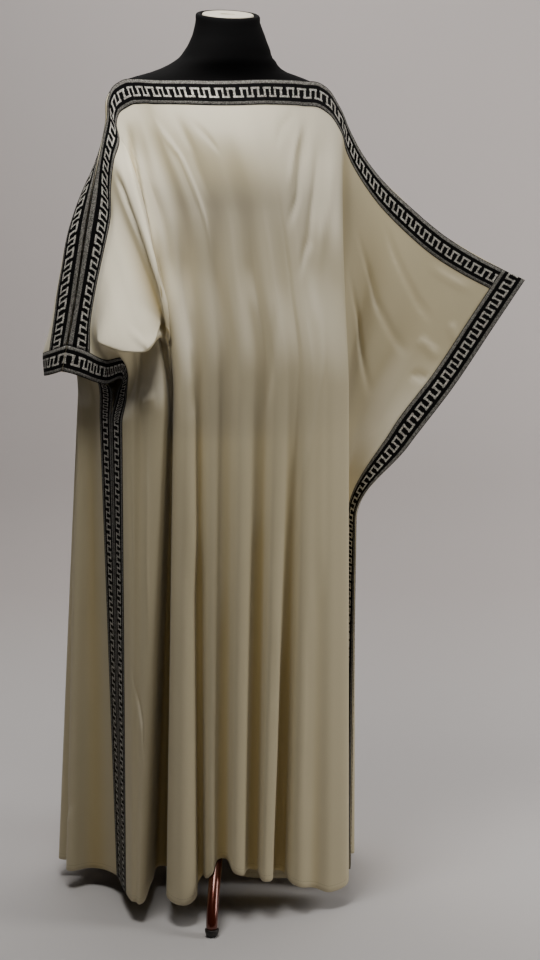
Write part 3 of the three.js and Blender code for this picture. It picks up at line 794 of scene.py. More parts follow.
@dataclass(frozen=True)
class CrepeFinish:
    """Ivory knit crepe, with painted shade over the black form and in its folds and painted light facing up.

    Attributes:
        lit: Its colour where nothing else holds.
        painted_top_light: Its paler colour where it faces up: painted light from above.
        painted_form_shade: Its colour close over the black form: painted shade of the form seen through the
            cloth.
        painted_fold_shade: Its colour in the hollows of its folds, darker and yellower: painted shade.
        threads: Threads in a metre.
        stitch_rise: Height of the hem's stitching over the hem, in metres.
        stitch_pitch: From one stitch to the next, in metres.
        roughness: How rough it is.
        specular: How strongly it reflects.
        sheen: How much nap it shows.
    """

    lit: tuple[float, float, float] = (199, 188, 156)
    painted_top_light: tuple[float, float, float] = (238, 230, 207)
    painted_form_shade: tuple[float, float, float] = (146, 138, 121)
    painted_fold_shade: tuple[float, float, float] = (184, 164, 112)
    threads: float = 1100.0
    stitch_rise: float = 0.011
    stitch_pitch: float = 0.0034
    roughness: float = 0.78
    specular: float = 0.25
    sheen: float = 0.12

    def build(self, groups: Groups) -> bpy.types.Material:
        """Makes the material.

        Args:
            groups: The shared node groups.

        Returns:
            The material.
        """
        material, nodes, principled = new_material("ivory crepe")
        uv = nodes.add("ShaderNodeUVMap", uv_map="cloth").outputs[0]
        behind = nodes.add("ShaderNodeAttribute", attribute_name="painted_form_shade").outputs["Fac"]
        painted_fold_shade = nodes.add("ShaderNodeAttribute", attribute_name="painted_fold_shade").outputs["Fac"]
        weave = nodes.add("ShaderNodeGroup", {"Place": uv, "Threads": self.threads, "Uneven": 0.8},
                          node_tree=groups.weave)
        mottle = nodes.add("ShaderNodeGroup", {"Place": uv, "Scale": 9.0, "Strength": 0.07},
                           node_tree=groups.mottle)
        top_light_mask = nodes.add("ShaderNodeAttribute", attribute_name="painted_top_light").outputs["Fac"]
        # Painted light where the cloth faces up.
        base = nodes.mix(top_light_mask, colour(*self.lit), colour(*self.painted_top_light))
        # Painted shade in the hollows of the folds.
        base = nodes.mix(painted_fold_shade, base, colour(*self.painted_fold_shade))
        # Painted shade of the black form seen through the cloth.
        base = nodes.mix(behind, base, colour(*self.painted_form_shade))
        split = nodes.add("ShaderNodeSeparateXYZ")
        nodes.feed(split.inputs[0], uv)
        from_hem = nodes.value("SUBTRACT", PANEL_LENGTH * MM, split.outputs[1])
        row = nodes.band(from_hem, self.stitch_rise, 0.0005, 0.0003)
        beat = nodes.value("FRACT", nodes.value("DIVIDE", split.outputs[0], self.stitch_pitch))
        stitch = nodes.value("MULTIPLY", row, nodes.band(beat, 0.5, 0.32, 0.1))
        dim = nodes.value("SUBTRACT", 1.0, nodes.value("MULTIPLY", stitch, 0.28))
        # Painted shade of the weave: the tone darkens a little where its threads lie low.
        grain = nodes.add("ShaderNodeMapRange", {"Value": weave.outputs["Shade"],
                                                 "To Min": 0.965, "To Max": 1.03})
        tone = nodes.value("MULTIPLY", nodes.value("MULTIPLY", mottle.outputs[0], grain.outputs[0]), dim)
        nodes.feed(principled.inputs["Base Color"], scaled(nodes, base, tone))
        principled.inputs["Roughness"].default_value = self.roughness
        principled.inputs["Specular IOR Level"].default_value = self.specular
        principled.inputs["Sheen Weight"].default_value = self.sheen
        principled.inputs["Sheen Roughness"].default_value = 0.4
        pressed = nodes.value("SUBTRACT", weave.outputs["Height"], nodes.value("MULTIPLY", row, 1.5))
        bump = nodes.add("ShaderNodeBump", {"Strength": 0.35, "Distance": 0.0003, "Height": pressed})
        nodes.feed(principled.inputs["Normal"], bump.outputs[0])
        return material


@dataclass(frozen=True)
class RibbonFinish:
    """Woven ribbon: silver metallic borders and a black field with a silver square-wave meander.

    Attributes:
        border: From the edge to the black field, in metres, as all its lengths are.
        selvedge: Width of the black edge outside the border.
        border_share: How much silver thread the border has.
        period: From one turn of the meander to the next like it.
        wave: Height of the meander.
        line: Width of its line.
        overhang: How far its bars pass its posts.
        edge: Width over which a line fades.
        black: Colour of the black thread.
        silver: Colour of the brightest silver thread.
        dark_silver: Colour of the darkest silver thread.
        threads: Threads in a metre.
        specks: Sparkles in a metre.
        metallic: How metallic the silver is.
        specular: How strongly the thread reflects.
    """

    border: float = 0.0062
    selvedge: float = 0.0011
    border_share: float = 0.32
    period: float = 0.0212
    wave: float = 0.0168
    line: float = 0.0030
    overhang: float = 0.0010
    edge: float = 0.0005
    black: tuple[float, float, float] = (2, 2, 3)
    silver: tuple[float, float, float] = (252, 249, 242)
    dark_silver: tuple[float, float, float] = (124, 121, 116)
    threads: float = 1500.0
    specks: float = 900.0
    metallic: float = 0.3
    specular: float = 0.12

    def meander(self, nodes: Nodes, u: object, w: object) -> bpy.types.NodeSocket:
        """The meander's mask.

        Posts stand every half period between the two bars' rows. A bar joins each pair of posts, at the top
        of the wave in one half of the period and at its foot in the other.

        Args:
            nodes: The material's node calls.
            u: Place along the ribbon.
            w: Place across it.

        Returns:
            1 on the line and 0 off it.
        """
        half = self.period / 2
        middle = RIBBON_WIDTH * MM / 2
        reach = (self.wave - self.line) / 2
        near = nodes.value("PINGPONG", u, half / 2)
        post = nodes.value("MULTIPLY", nodes.band(near, 0.0, self.line / 2, self.edge),
                         nodes.band(w, middle, self.wave / 2, self.edge))
        turn = nodes.value("FLOORED_MODULO", u, self.period)
        masks = [post]
        for sign, start in ((1, 0.0), (-1, half)):
            row = nodes.band(w, middle + sign * reach, self.line / 2, self.edge)
            centre = start + half / 2
            away = nodes.value("ABSOLUTE", nodes.value("SUBTRACT", turn, centre))
            wrapped = nodes.value("MINIMUM", away, nodes.value("SUBTRACT", self.period, away))
            span = nodes.band(wrapped, 0.0, half / 2 + self.line / 2 + self.overhang, self.edge)
            masks.append(nodes.value("MULTIPLY", row, span))
        return nodes.value("MAXIMUM", nodes.value("MAXIMUM", masks[0], masks[1]), masks[2])

    def build(self, groups: Groups) -> bpy.types.Material:
        """Makes the material.

        Args:
            groups: The shared node groups.

        Returns:
            The material.
        """
        material, nodes, principled = new_material("woven ribbon")
        uv = nodes.add("ShaderNodeUVMap", uv_map="cloth").outputs[0]
        split = nodes.add("ShaderNodeSeparateXYZ")
        nodes.feed(split.inputs[0], uv)
        u, w = split.outputs[0], split.outputs[1]
        middle = RIBBON_WIDTH * MM / 2
        field_mask = nodes.band(w, middle, middle - self.border, self.edge)
        inside = nodes.band(w, middle, middle - self.selvedge, self.edge)
        border = nodes.value("MULTIPLY", nodes.value("SUBTRACT", 1.0, field_mask), inside)
        woven = nodes.value("MULTIPLY", border, self.border_share)
        metal = nodes.value("MAXIMUM", woven, self.meander(nodes, u, w))
        weave = nodes.add("ShaderNodeGroup", {"Place": uv, "Threads": self.threads, "Uneven": 0.9},
                          node_tree=groups.weave)
        glint = nodes.add("ShaderNodeTexVoronoi", {"Vector": uv, "Scale": self.specks}, feature="F1")
        speck = nodes.add("ShaderNodeSeparateColor", {"Color": glint.outputs["Color"]})
        bright = nodes.value("POWER", speck.outputs[0], 1.6)
        silver = nodes.mix(bright, colour(*self.dark_silver), colour(*self.silver))
        tint = nodes.mix(speck.outputs[1], (1.0, 0.93, 0.95, 1.0), (0.93, 1.0, 0.96, 1.0))
        tinted = nodes.add("ShaderNodeVectorMath", operation="MULTIPLY")
        nodes.feed(tinted.inputs[0], silver)
        nodes.feed(tinted.inputs[1], tint)
        base = nodes.mix(metal, colour(*self.black), tinted.outputs[0])
        nodes.feed(principled.inputs["Base Color"], base)
        shine = nodes.add("ShaderNodeMapRange", {"Value": bright, "To Min": 0.55, "To Max": 0.25})
        rough = nodes.add("ShaderNodeMix", data_type="FLOAT")
        nodes.feed(rough.inputs[0], metal)
        nodes.feed(rough.inputs[2], 0.8)
        nodes.feed(rough.inputs[3], shine.outputs[0])
        nodes.feed(principled.inputs["Roughness"], rough.outputs[0])
        nodes.feed(principled.inputs["Metallic"], nodes.value("MULTIPLY", metal, self.metallic))
        principled.inputs["Specular IOR Level"].default_value = self.specular
        raised = nodes.value("ADD", nodes.value("MULTIPLY", metal, 1.2), weave.outputs["Height"])
        bump = nodes.add("ShaderNodeBump", {"Strength": 0.6, "Distance": 0.0003, "Height": raised})
        nodes.feed(principled.inputs["Normal"], bump.outputs[0])
        return material


@dataclass(frozen=True)
class JerseyFinish:
    """Black stretch jersey, drawn tight."""

    shade: tuple[float, float, float] = (5, 5, 6)
    roughness: float = 0.85
    specular: float = 0.1

    def build(self, groups: Groups) -> bpy.types.Material:
        """Makes the material.

        Args:
            groups: The shared node groups.

        Returns:
            The material.
        """
        material, nodes, principled = new_material("black jersey")
        place = nodes.add("ShaderNodeTexCoord").outputs["Object"]
        weave = nodes.add("ShaderNodeGroup", {"Place": place, "Threads": 700.0}, node_tree=groups.weave)
        mottle = nodes.add("ShaderNodeGroup", {"Place": place, "Scale": 14.0, "Strength": 0.3},
                           node_tree=groups.mottle)
        nodes.feed(principled.inputs["Base Color"], scaled(nodes, colour(*self.shade), mottle.outputs[0]))
        principled.inputs["Roughness"].default_value = self.roughness
        principled.inputs["Specular IOR Level"].default_value = self.specular
        bump = nodes.add("ShaderNodeBump", {"Strength": 0.3, "Distance": 0.0003,
                                            "Height": weave.outputs["Height"]})
        nodes.feed(principled.inputs["Normal"], bump.outputs[0])
        return material


@dataclass(frozen=True)
class PlainFinish:
    """A moulded, painted or rubber surface with slow changes of tone and a fine grain.

    Attributes:
        name: The material's name.
        shade: Its colour.
        roughness: Its mean roughness.
        metallic: How metallic it is.
        coat: How much clear coat lies on it.
        mottle: How far its tone changes.
        grain: How fine its grain is, in bumps for a metre.
    """

    name: str
    shade: tuple[float, float, float]
    roughness: float
    metallic: float = 0.0
    coat: float = 0.0
    mottle: float = 0.1
    grain: float = 260.0

    def build(self, groups: Groups) -> bpy.types.Material:
        """Makes the material.

        Args:
            groups: The shared node groups.

        Returns:
            The material.
        """
        material, nodes, principled = new_material(self.name)
        place = nodes.add("ShaderNodeTexCoord").outputs["Object"]
        mottle = nodes.add("ShaderNodeGroup", {"Place": place, "Scale": 30.0, "Strength": self.mottle},
                           node_tree=groups.mottle)
        nodes.feed(principled.inputs["Base Color"], scaled(nodes, colour(*self.shade), mottle.outputs[0]))
        grain = nodes.add("ShaderNodeTexNoise", {"Vector": place, "Scale": self.grain, "Detail": 3.0})
        rough = nodes.add("ShaderNodeMapRange", {"Value": grain.outputs[0], "To Min": self.roughness * 0.85,
                                                 "To Max": self.roughness * 1.2})
        nodes.feed(principled.inputs["Roughness"], rough.outputs[0])
        principled.inputs["Metallic"].default_value = self.metallic
        principled.inputs["Coat Weight"].default_value = self.coat
        principled.inputs["Coat Roughness"].default_value = 0.12
        bump = nodes.add("ShaderNodeBump", {"Strength": 0.15, "Distance": 0.0002, "Height": grain.outputs[0]})
        nodes.feed(principled.inputs["Normal"], bump.outputs[0])
        return material


class Finishes:
    """All the object's materials."""

    def __init__(self) -> None:
        """Builds each material once."""
        groups = Groups()
        self.crepe = CrepeFinish().build(groups)
        self.ribbon = RibbonFinish().build(groups)
        self.jersey = JerseyFinish().build(groups)
        self.cap = PlainFinish("cream cap", (196, 190, 172), 0.5).build(groups)
        self.copper = PlainFinish("copper brown enamel", (96, 40, 22), 0.22, 0.55, 0.8, 0.25).build(groups)
        self.rubber = PlainFinish("dark rubber", (26, 20, 18), 0.5).build(groups)


def dress(piece: bpy.types.Object, material: bpy.types.Material, slot: str, *nodes: str) -> bpy.types.Object:
    """Gives a piece its finish and its place in the frame.

    Args:
        piece: The new piece.
        material: Its material.
        slot: The record's material slot; not used.
        nodes: The CAD nodes that it stands for.

    Returns:
        The piece.
    """
    piece.data.materials.append(material)
    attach(piece, "root")
    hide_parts(*nodes)
    LOG.info("%s: %d faces", piece.name, len(piece.data.polygons))
    return piece


@dataclass
class DressForm:
    """The limbless form: smooth rings from the hips to the neck, turned to the right, and its cap.

    Attributes:
        turn: How far it is turned to the right.
        x: How far its upright lies to the right of the pattern's middle.
        inset: How far its side lies inside the rings.
        sides: Points in a ring.
        ring_step: Largest step up between two rings.
        neck_tilt: How far the neck's top slopes to the front.
        cap_radius: Radius of the cap.
        cap_hole: Radius of the hole in it.
        cap_gap: How far it stands off the neck.
        bridge: Where the jersey bridges the hollow between the neck and the shoulders. Columns: z, how much
            wider and deeper it is than the rings to each side, and how far it moves to the right.
        collar: The rolled edge of the jersey round the cap. Columns: distance out from the neck's top, z.
    """

    turn: float = math.radians(15)
    x: float = 10.0
    inset: float = 0.8
    sides: int = 96
    ring_step: float = 6.0
    neck_tilt: float = math.radians(10)
    cap_radius: float = 44.0
    cap_hole: float = 12.0
    cap_gap: float = 0.3
    bridge: tuple[tuple[float, float, float, float], ...] = (
        (1406, 0, 0, 0), (1413, 12, 0, -4), (1420, 28, 0, -14), (1432, 26, 1, -16), (1446, 21, 5, -11),
        (1462, 24, 8, -3), (1484, 15, 5, 1), (1506, 7, 2, 2), (1520, 2, 1, 1), (1528, 0, 0, 0))
    collar: tuple[tuple[float, float], ...] = (
        (0.2, 4), (0.0, 8), (-1.2, 10.6), (-3.6, 11.8), (-6.2, 11.2), (-8.4, 9.0), (-9.0, 5.0), (-9.2, 0.1))

    def sections(self, heights: np.ndarray) -> np.ndarray:
        """Half width, half depth and forward shift at each height, by a smooth cubic through the rings."""
        z = FORM_RINGS[:, 0]
        slopes = np.gradient(FORM_RINGS[:, 1:], z, axis=0)
        i = np.clip(np.searchsorted(z, heights) - 1, 0, len(z) - 2)
        run = (z[i + 1] - z[i])[:, None]
        t = ((heights - z[i]) / (z[i + 1] - z[i]))[:, None]
        a, b = FORM_RINGS[i, 1:], FORM_RINGS[i + 1, 1:]
        t2, t3 = t * t, t * t * t
        ends = (2 * t3 - 3 * t2 + 1) * a + (3 * t2 - 2 * t3) * b
        return ends + run * ((t3 - 2 * t2 + t) * slopes[i] + (t3 - t2) * slopes[i + 1])

    def placed(self, local: np.ndarray) -> np.ndarray:
        """Points of the form's own place, turned and moved into the pattern's."""
        cos, sin = math.cos(self.turn), math.sin(self.turn)
        x = local[..., 0] * cos - local[..., 1] * sin + self.x
        y = local[..., 0] * sin + local[..., 1] * cos
        return np.stack([x, y, local[..., 2]], axis=-1)

    def clearance(self, points: np.ndarray) -> np.ndarray:
        """How far points stand off the form's side, large above and below it.

        The point is turned into the form's own place. Its distance is the length left over after dividing it
        by how far out of the section's ellipse it lies.

        Args:
            points: Points in the pattern's place.

        Returns:
            Distances in millimetres, negative inside.
        """
        cos, sin = math.cos(self.turn), math.sin(self.turn)
        x = points[..., 0] - self.x
        local_x = x * cos + points[..., 1] * sin
        local_y = -x * sin + points[..., 1] * cos
        z = points[..., 2]
        flat = self.sections(np.clip(z, FORM_RINGS[0, 0], FORM_RINGS[-1, 0]).ravel()).reshape(*z.shape, 3)
        local_y = local_y + flat[..., 2]
        out = np.sqrt((local_x / flat[..., 0]) ** 2 + (local_y / flat[..., 1]) ** 2)
        distance = np.hypot(local_x, local_y) * (1 - 1 / np.maximum(out, 1e-6))
        outside = np.maximum(FORM_RINGS[0, 0] - z, 0) + np.maximum(z - FORM_RINGS[-1, 0], 0)
        return distance + outside * 2

    def side_rings(self) -> np.ndarray:
        """The form's rings from its base to the top of its neck, in its own place.

        Each is an ellipse at one height, made wider and deeper by the bridge. Over the last stretch of the
        neck the heights tilt to the front, by the depth times the tilt's tangent.

        Returns:
            Points, ring by side by xyz.
        """
        low, high = FORM_RINGS[0, 0], FORM_RINGS[-1, 0]
        heights = np.arange(low, high + 0.1, self.ring_step)
        heights = np.append(heights[heights < high - 2], high)
        flat = self.sections(heights)
        bridge = np.array(self.bridge, dtype=float)
        wider, deeper, aside = (np.interp(heights, bridge[:, 0], bridge[:, k])[:, None] for k in (1, 2, 3))
        angle = np.linspace(0, math.tau, self.sides, endpoint=False)
        x = (flat[:, :1] - self.inset + wider) * np.cos(angle) + aside
        depth = (flat[:, 1:2] - self.inset + deeper) * np.sin(angle)
        share = smooth_step((heights - FORM_RINGS[-2, 0]) / (high - FORM_RINGS[-2, 0]))[:, None]
        z = heights[:, None] + depth * math.tan(self.neck_tilt) * share
        return np.stack([x, depth - flat[:, 2:3], z], axis=-1)

    def collar_rings(self) -> np.ndarray:
        """Rings of the rolled edge round the cap: circles about the top of the neck, tilted with it."""
        _, half_width, _, forward = FORM_RINGS[-1]
        out, rise = np.array(self.collar, dtype=float).T
        angle = np.linspace(0, math.tau, self.sides, endpoint=False)
        reach = half_width - self.inset + out[:, None]
        x, depth = reach * np.cos(angle), reach * np.sin(angle)
        z = FORM_RINGS[-1, 0] + rise[:, None] + depth * math.tan(self.neck_tilt)
        return np.stack([x, depth - forward, z], axis=-1)

    def body_rings(self) -> np.ndarray:
        """The rings of the form's side and of the collar, in the pattern's place."""
        return self.placed(np.concatenate([self.side_rings(), self.collar_rings()]))

    def cap_rings(self) -> np.ndarray:
        """The cap: up its outer wall, over its rounded rim, in over the top and down the hole."""
        # Columns: radius, height over the neck.
        profile = np.array([
            [self.cap_radius, 0], [self.cap_radius, 6.5], [self.cap_radius - 0.3, 9.0],
            [self.cap_radius - 1.2, 11.0], [self.cap_radius - 2.6, 11.8], [self.cap_radius - 4.5, 12.0],
            [self.cap_hole + 2.0, 12.0], [self.cap_hole + 0.5, 11.6], [self.cap_hole, 10.6],
            [self.cap_hole, 3.0], [0.5, 3.0],
        ])
        angle = np.linspace(0, math.tau, self.sides, endpoint=False)
        x = profile[:, :1] * np.cos(angle)
        y = profile[:, :1] * np.sin(angle)
        z = np.repeat(profile[:, 1:], self.sides, axis=1)
        cos, sin = math.cos(self.neck_tilt), math.sin(self.neck_tilt)
        z = z + self.cap_gap
        top, forward = FORM_RINGS[-1, 0], FORM_RINGS[-1, 3]
        local = np.stack([x, y * cos - z * sin - forward, y * sin + z * cos + top], axis=-1)
        return self.placed(local)

    def build(self, finishes: Finishes) -> None:
        """Makes the form and its cap."""
        dress(turned("form_body", self.body_rings()), finishes.jersey, "jersey", "dress_form")
        dress(turned("form_cap", self.cap_rings()), finishes.cap, "neck_cap", "neck_cap")


@dataclass
class Stand:
    """The stand: a pole, a hub and three bowed legs on domed tips.

    Attributes:
        place: Where its upright stands.
        pole_radius: Radius of the pole.
        hub_radius: Radius of the hub.
        hub_height: Height of the hub.
        hub_z: Height of the hub's middle.
        foot_circle: Radius of the circle that the tips stand on.
        leg_top: Radius of a leg at the hub.
        leg_foot: Radius of a leg at its tip.
        first_leg: Which way the front leg points.
        knee_z: Height of the point that a leg bends round.
        knee_shift: How far that point lies inside the tips' circle.
        tip_height: Height of a tip.
        gap: How far the stand's parts lie from each other.
        sides: Points in a ring.
        leg_names: The legs in order, each a third of a turn on from the last.
    """

    place: tuple[float, float] = STAND_PLACE
    pole_radius: float = 14.0
    hub_radius: float = 32.0
    hub_height: float = 52.0
    hub_z: float = 176.0
    foot_circle: float = 228.0
    leg_top: float = 11.0
    leg_foot: float = 10.0
    first_leg: float = math.radians(-94)
    knee_z: float = 57.0
    knee_shift: float = 3.0
    tip_height: float = 14.0
    gap: float = 0.3
    sides: int = 32
    leg_names: tuple[str, ...] = ("front", "right", "left")

    def lathe(self, profile: np.ndarray) -> np.ndarray:
        """Rings of a profile of radius and height turned round the stand's upright."""
        angle = np.linspace(0, math.tau, self.sides, endpoint=False)
        x = profile[:, :1] * np.cos(angle) + self.place[0]
        y = profile[:, :1] * np.sin(angle) + self.place[1]
        return np.stack([x, y, np.repeat(profile[:, 1:], self.sides, axis=1)], axis=-1)

    def outwards(self, local: np.ndarray, turn: float) -> np.ndarray:
        """Points of a leg's own upright plane, turned about the stand's upright."""
        cos, sin = math.cos(turn), math.sin(turn)
        x = local[..., 0] * cos - local[..., 1] * sin + self.place[0]
        y = local[..., 0] * sin + local[..., 1] * cos + self.place[1]
        return np.stack([x, y, local[..., 2]], axis=-1)

    def leg_rings(self, steps: int = 28) -> np.ndarray:
        """Rings of a leg: round sections along a quadratic curve from the tip to the hub."""
        foot = np.array([self.foot_circle, self.tip_height + self.gap])
        knee = np.array([self.foot_circle - self.knee_shift, self.knee_z])
        head = np.array([self.hub_radius + self.gap, self.hub_z])
        t = np.linspace(0, 1, steps + 1)[:, None]
        centre = (1 - t) ** 2 * foot + 2 * t * (1 - t) * knee + t ** 2 * head
        run = 2 * (1 - t) * (knee - foot) + 2 * t * (head - knee)
        lean = np.arctan2(-run[:, 0], run[:, 1])
        lean[0], lean[-1] = 0, math.pi / 2
        radius = self.leg_foot + (self.leg_top - self.leg_foot) * t
        angle = np.linspace(0, math.tau, self.sides, endpoint=False)
        across = radius * np.cos(angle)
        x = centre[:, :1] + across * np.cos(lean)[:, None]
        z = centre[:, 1:] + across * np.sin(lean)[:, None]
        return np.stack([x, radius * np.sin(angle), z], axis=-1)

    def tip_rings(self) -> np.ndarray:
        """Rings of a domed tip: flat on the floor, swelling out and rounded in round the leg."""
        # Columns: radius, height.
        profile = np.array([
            [self.leg_foot - 3.5, 0], [self.leg_foot - 2, 0.4], [self.leg_foot - 0.4, 2.2],
            [self.leg_foot + 1.2, 6.0], [self.leg_foot + 2.0, 10.0], [self.leg_foot + 1.9, 12.4],
            [self.leg_foot + 1.2, 13.6], [self.leg_foot, 14.0],
        ])
        angle = np.linspace(0, math.tau, self.sides, endpoint=False)
        x = profile[:, :1] * np.cos(angle) + self.foot_circle
        y = profile[:, :1] * np.sin(angle)
        return np.stack([x, y, np.repeat(profile[:, 1:], self.sides, axis=1)], axis=-1)

    def build(self, finishes: Finishes) -> None:
        """Makes the pole, the hub, the legs and their tips."""
        hub_top = self.hub_z + self.hub_height / 2
        form_foot = FORM_RINGS[0, 0]
        r, low, high = self.pole_radius, hub_top + self.gap, form_foot - self.gap
        pole = self.lathe(np.array([[r - 0.6, low], [r, low + 0.8], [r, high - 0.8], [r - 0.6, high]]))
        dress(turned("pole", pole), finishes.copper, "copper", "stand_pole")
        r, low, high = self.hub_radius, self.hub_z - self.hub_height / 2, hub_top
        hub = np.array([[r - 4, low], [r - 1.2, low + 1], [r, low + 4], [r, high - 5], [r - 1.4, high - 1.6],
                        [r - 5, high - 0.2], [r - 8, high]])
        dress(turned("hub", self.lathe(hub)), finishes.copper, "copper", "stand_hub")
        for i, name in enumerate(self.leg_names):
            turn = self.first_leg + i * math.tau / 3
            leg = turned(f"leg_{name}", self.outwards(self.leg_rings(), turn))
            dress(leg, finishes.copper, "copper", f"stand_leg_{name}")
            tip = turned(f"tip_{name}", self.outwards(self.tip_rings(), turn))
            dress(tip, finishes.rubber, "foot_tip", f"foot_tip_{name}")


@dataclass
class Garment:
    """The costume: two panels, and the ribbons laid on their top and side edges.

    Attributes:
        form: The form under it, whose black shows through as painted shade where the cloth is near.
        front_creases: Creases of the front.
        back_creases: Creases of the back.
        see_through: Distance from the form over which the painted shade of its black fades from view.
        shade_top: Height below which the form's shade sets in, under the lit shoulders.
        shade_run: Distance below that over which it grows.
        fold_reach: Columns of points to each side that a place is compared with.
        fold_shade_depth: How far below them a point lies when the painted shade of a fold is full.
        top_light_from: Part of the normal pointing up from which the painted light from above begins.
        top_light_run: How much more of it makes that painted light full.
    """

    form: DressForm
    front_creases: tuple[Crease, ...] = ()
    back_creases: tuple[Crease, ...] = ()
    see_through: float = 44.0
    shade_top: float = 1305.0
    shade_run: float = 85.0
    fold_reach: int = 9
    fold_shade_depth: float = 16.0
    top_light_from: float = 0.02
    top_light_run: float = 0.24

    def cloth_values(self, grid: Grid) -> dict[str, np.ndarray]:
        """The form's painted shade, the painted shade in the folds, and the painted light where the cloth
        faces up.

        The first falls off as a bell curve of the distance to the form, grows below the lit shoulders, and is
        halved where the cloth faces up. The second compares a point with the mean of the cloth about it,
        along the normal, and darkens the hollows. The third grows with the part of the normal that points up.

        Args:
            grid: The panel's grid.

        Returns:
            The three values, named.
        """
        # Painted shade of the black form: near it, below the lit shoulders, halved under the painted light
        # from above.
        gap = np.maximum(self.form.clearance(grid.points), 0)
        near = np.exp(-(gap / self.see_through) ** 1.5)
        # Painted shade in the folds: how far a point lies below the mean of the cloth about it.
        reach = self.fold_reach
        padded = np.pad(grid.points, ((reach, reach), (0, 0), (0, 0)), mode="edge")
        total = np.cumsum(np.pad(padded, ((1, 0), (0, 0), (0, 0))), axis=0)
        mean = (total[2 * reach + 1:] - total[:-2 * reach - 1]) / (2 * reach + 1)
        below = np.einsum("ijk,ijk->ij", mean - grid.points, grid.normals)
        # Painted light where the cloth faces up towards the lamps.
        painted_top_light = smooth_step((grid.normals[..., 2] - self.top_light_from) / self.top_light_run)
        low = smooth_step((self.shade_top - grid.points[..., 2]) / self.shade_run)
        painted_form_shade = near * low * (1 - 0.5 * painted_top_light)
        return {"painted_form_shade": painted_form_shade, "painted_fold_shade": smooth_step(below / self.fold_shade_depth), "painted_top_light": painted_top_light}

    def ribbon(self, name: str, grid: Grid, from_top: bool, finishes: Finishes,
               *nodes: str) -> bpy.types.Object:
        """A ribbon laid on a stretch of a panel.

        Args:
            name: The piece's name.
            grid: The stretch of the panel.
            from_top: Whether its width is counted down from the top edge, and not in from the side edge.
            finishes: The materials.
            nodes: The CAD nodes that it stands for.

        Returns:
            The piece.
        """
        s, d = np.meshgrid(grid.s, grid.d, indexing="ij")
        uv = np.stack([s, d], axis=-1) if from_top else np.stack([d, HALF_WIDTH - np.abs(s)], axis=-1)
        low = CLOTH_THICKNESS / 2 + LAY_GAP
        piece = shell(name, grid, low, low + RIBBON_THICKNESS, uv * MM)
        return dress(piece, finishes.ribbon, "woven_ribbon", *nodes)

    def panel(self, side: Side, creases: tuple[Crease, ...], finishes: Finishes) -> None:
        name = side.name.lower()
        grid = Panel(side, creases).grid()
        s, d = np.meshgrid(grid.s, grid.d, indexing="ij")
        half = CLOTH_THICKNESS / 2
        uv = np.stack([s + HALF_WIDTH, d], axis=-1) * MM
        cloth = shell(f"{name}_cloth", grid, -half, half, uv, self.cloth_values(grid))
        dress(cloth, finishes.crepe, "crepe", f"{name}_panel")
        columns = np.arange(len(grid.s))
        rows = np.arange(len(grid.d))
        top_rows = rows[grid.d <= RIBBON_WIDTH + 0.01]
        inside = columns[np.abs(grid.s) <= RIBBON_LINE + 0.01]
        left = columns[grid.s <= -RIBBON_LINE + 0.01]
        right = columns[grid.s >= RIBBON_LINE - 0.01]
        ribbons = [self.ribbon(f"{name}_top_band", grid.part(inside, top_rows), True, finishes,
                               f"{name}_top_ribbon")]
        ribbons.append(self.ribbon(f"{name}_right_band", grid.part(right, rows), False, finishes,
                                   f"{name}_right_ribbon"))
        if side is Side.FRONT:
            ribbons.append(self.ribbon("front_left_band", grid.part(left, rows), False, finishes,
                                       "front_left_ribbon"))
        else:
            cuff = rows[grid.d <= LEVELS[CHEST] * PANEL_LENGTH + 0.01]
            below = rows[grid.d >= LEVELS[WAIST] * PANEL_LENGTH - 0.01]
            ribbons.append(self.ribbon("back_left_cuff_band", grid.part(left, cuff), False, finishes,
                                       "back_left_cuff_ribbon"))
            ribbons.append(self.ribbon("back_left_band", grid.part(left, below), False, finishes,
                                       "back_left_ribbon"))

    def build(self, finishes: Finishes) -> None:
        """Makes both panels."""
        self.panel(Side.FRONT, self.front_creases, finishes)
        self.panel(Side.BACK, self.back_creases, finishes)


@dataclass(frozen=True)
class Lamp:
    """A square soft light.

    Attributes:
        name: Its name.
        place: Where it is, in millimetres.
        aim: The point it faces.
        power: Its power in watts.
        size: Its side in metres.
        tint: Its colour.
    """

    name: str
    place: tuple[float, float, float]
    aim: tuple[float, float, float]
    power: float
    size: float
    tint: tuple[float, float, float]

    def build(self) -> None:
        """Makes the light, turned to face its aim."""
        data = bpy.data.lights.new(self.name, "AREA")
        data.energy = self.power
        data.size = self.size
        data.color = self.tint
        lamp = bpy.data.objects.new(self.name, data)
        lamp.location = Vector((np.array(self.place) + PLACE) * MM)
        way = Vector(np.array(self.aim, dtype=float) - np.array(self.place, dtype=float))
        lamp.rotation_euler = way.to_track_quat("-Z", "Y").to_euler()
        bpy.context.scene.collection.objects.link(lamp)


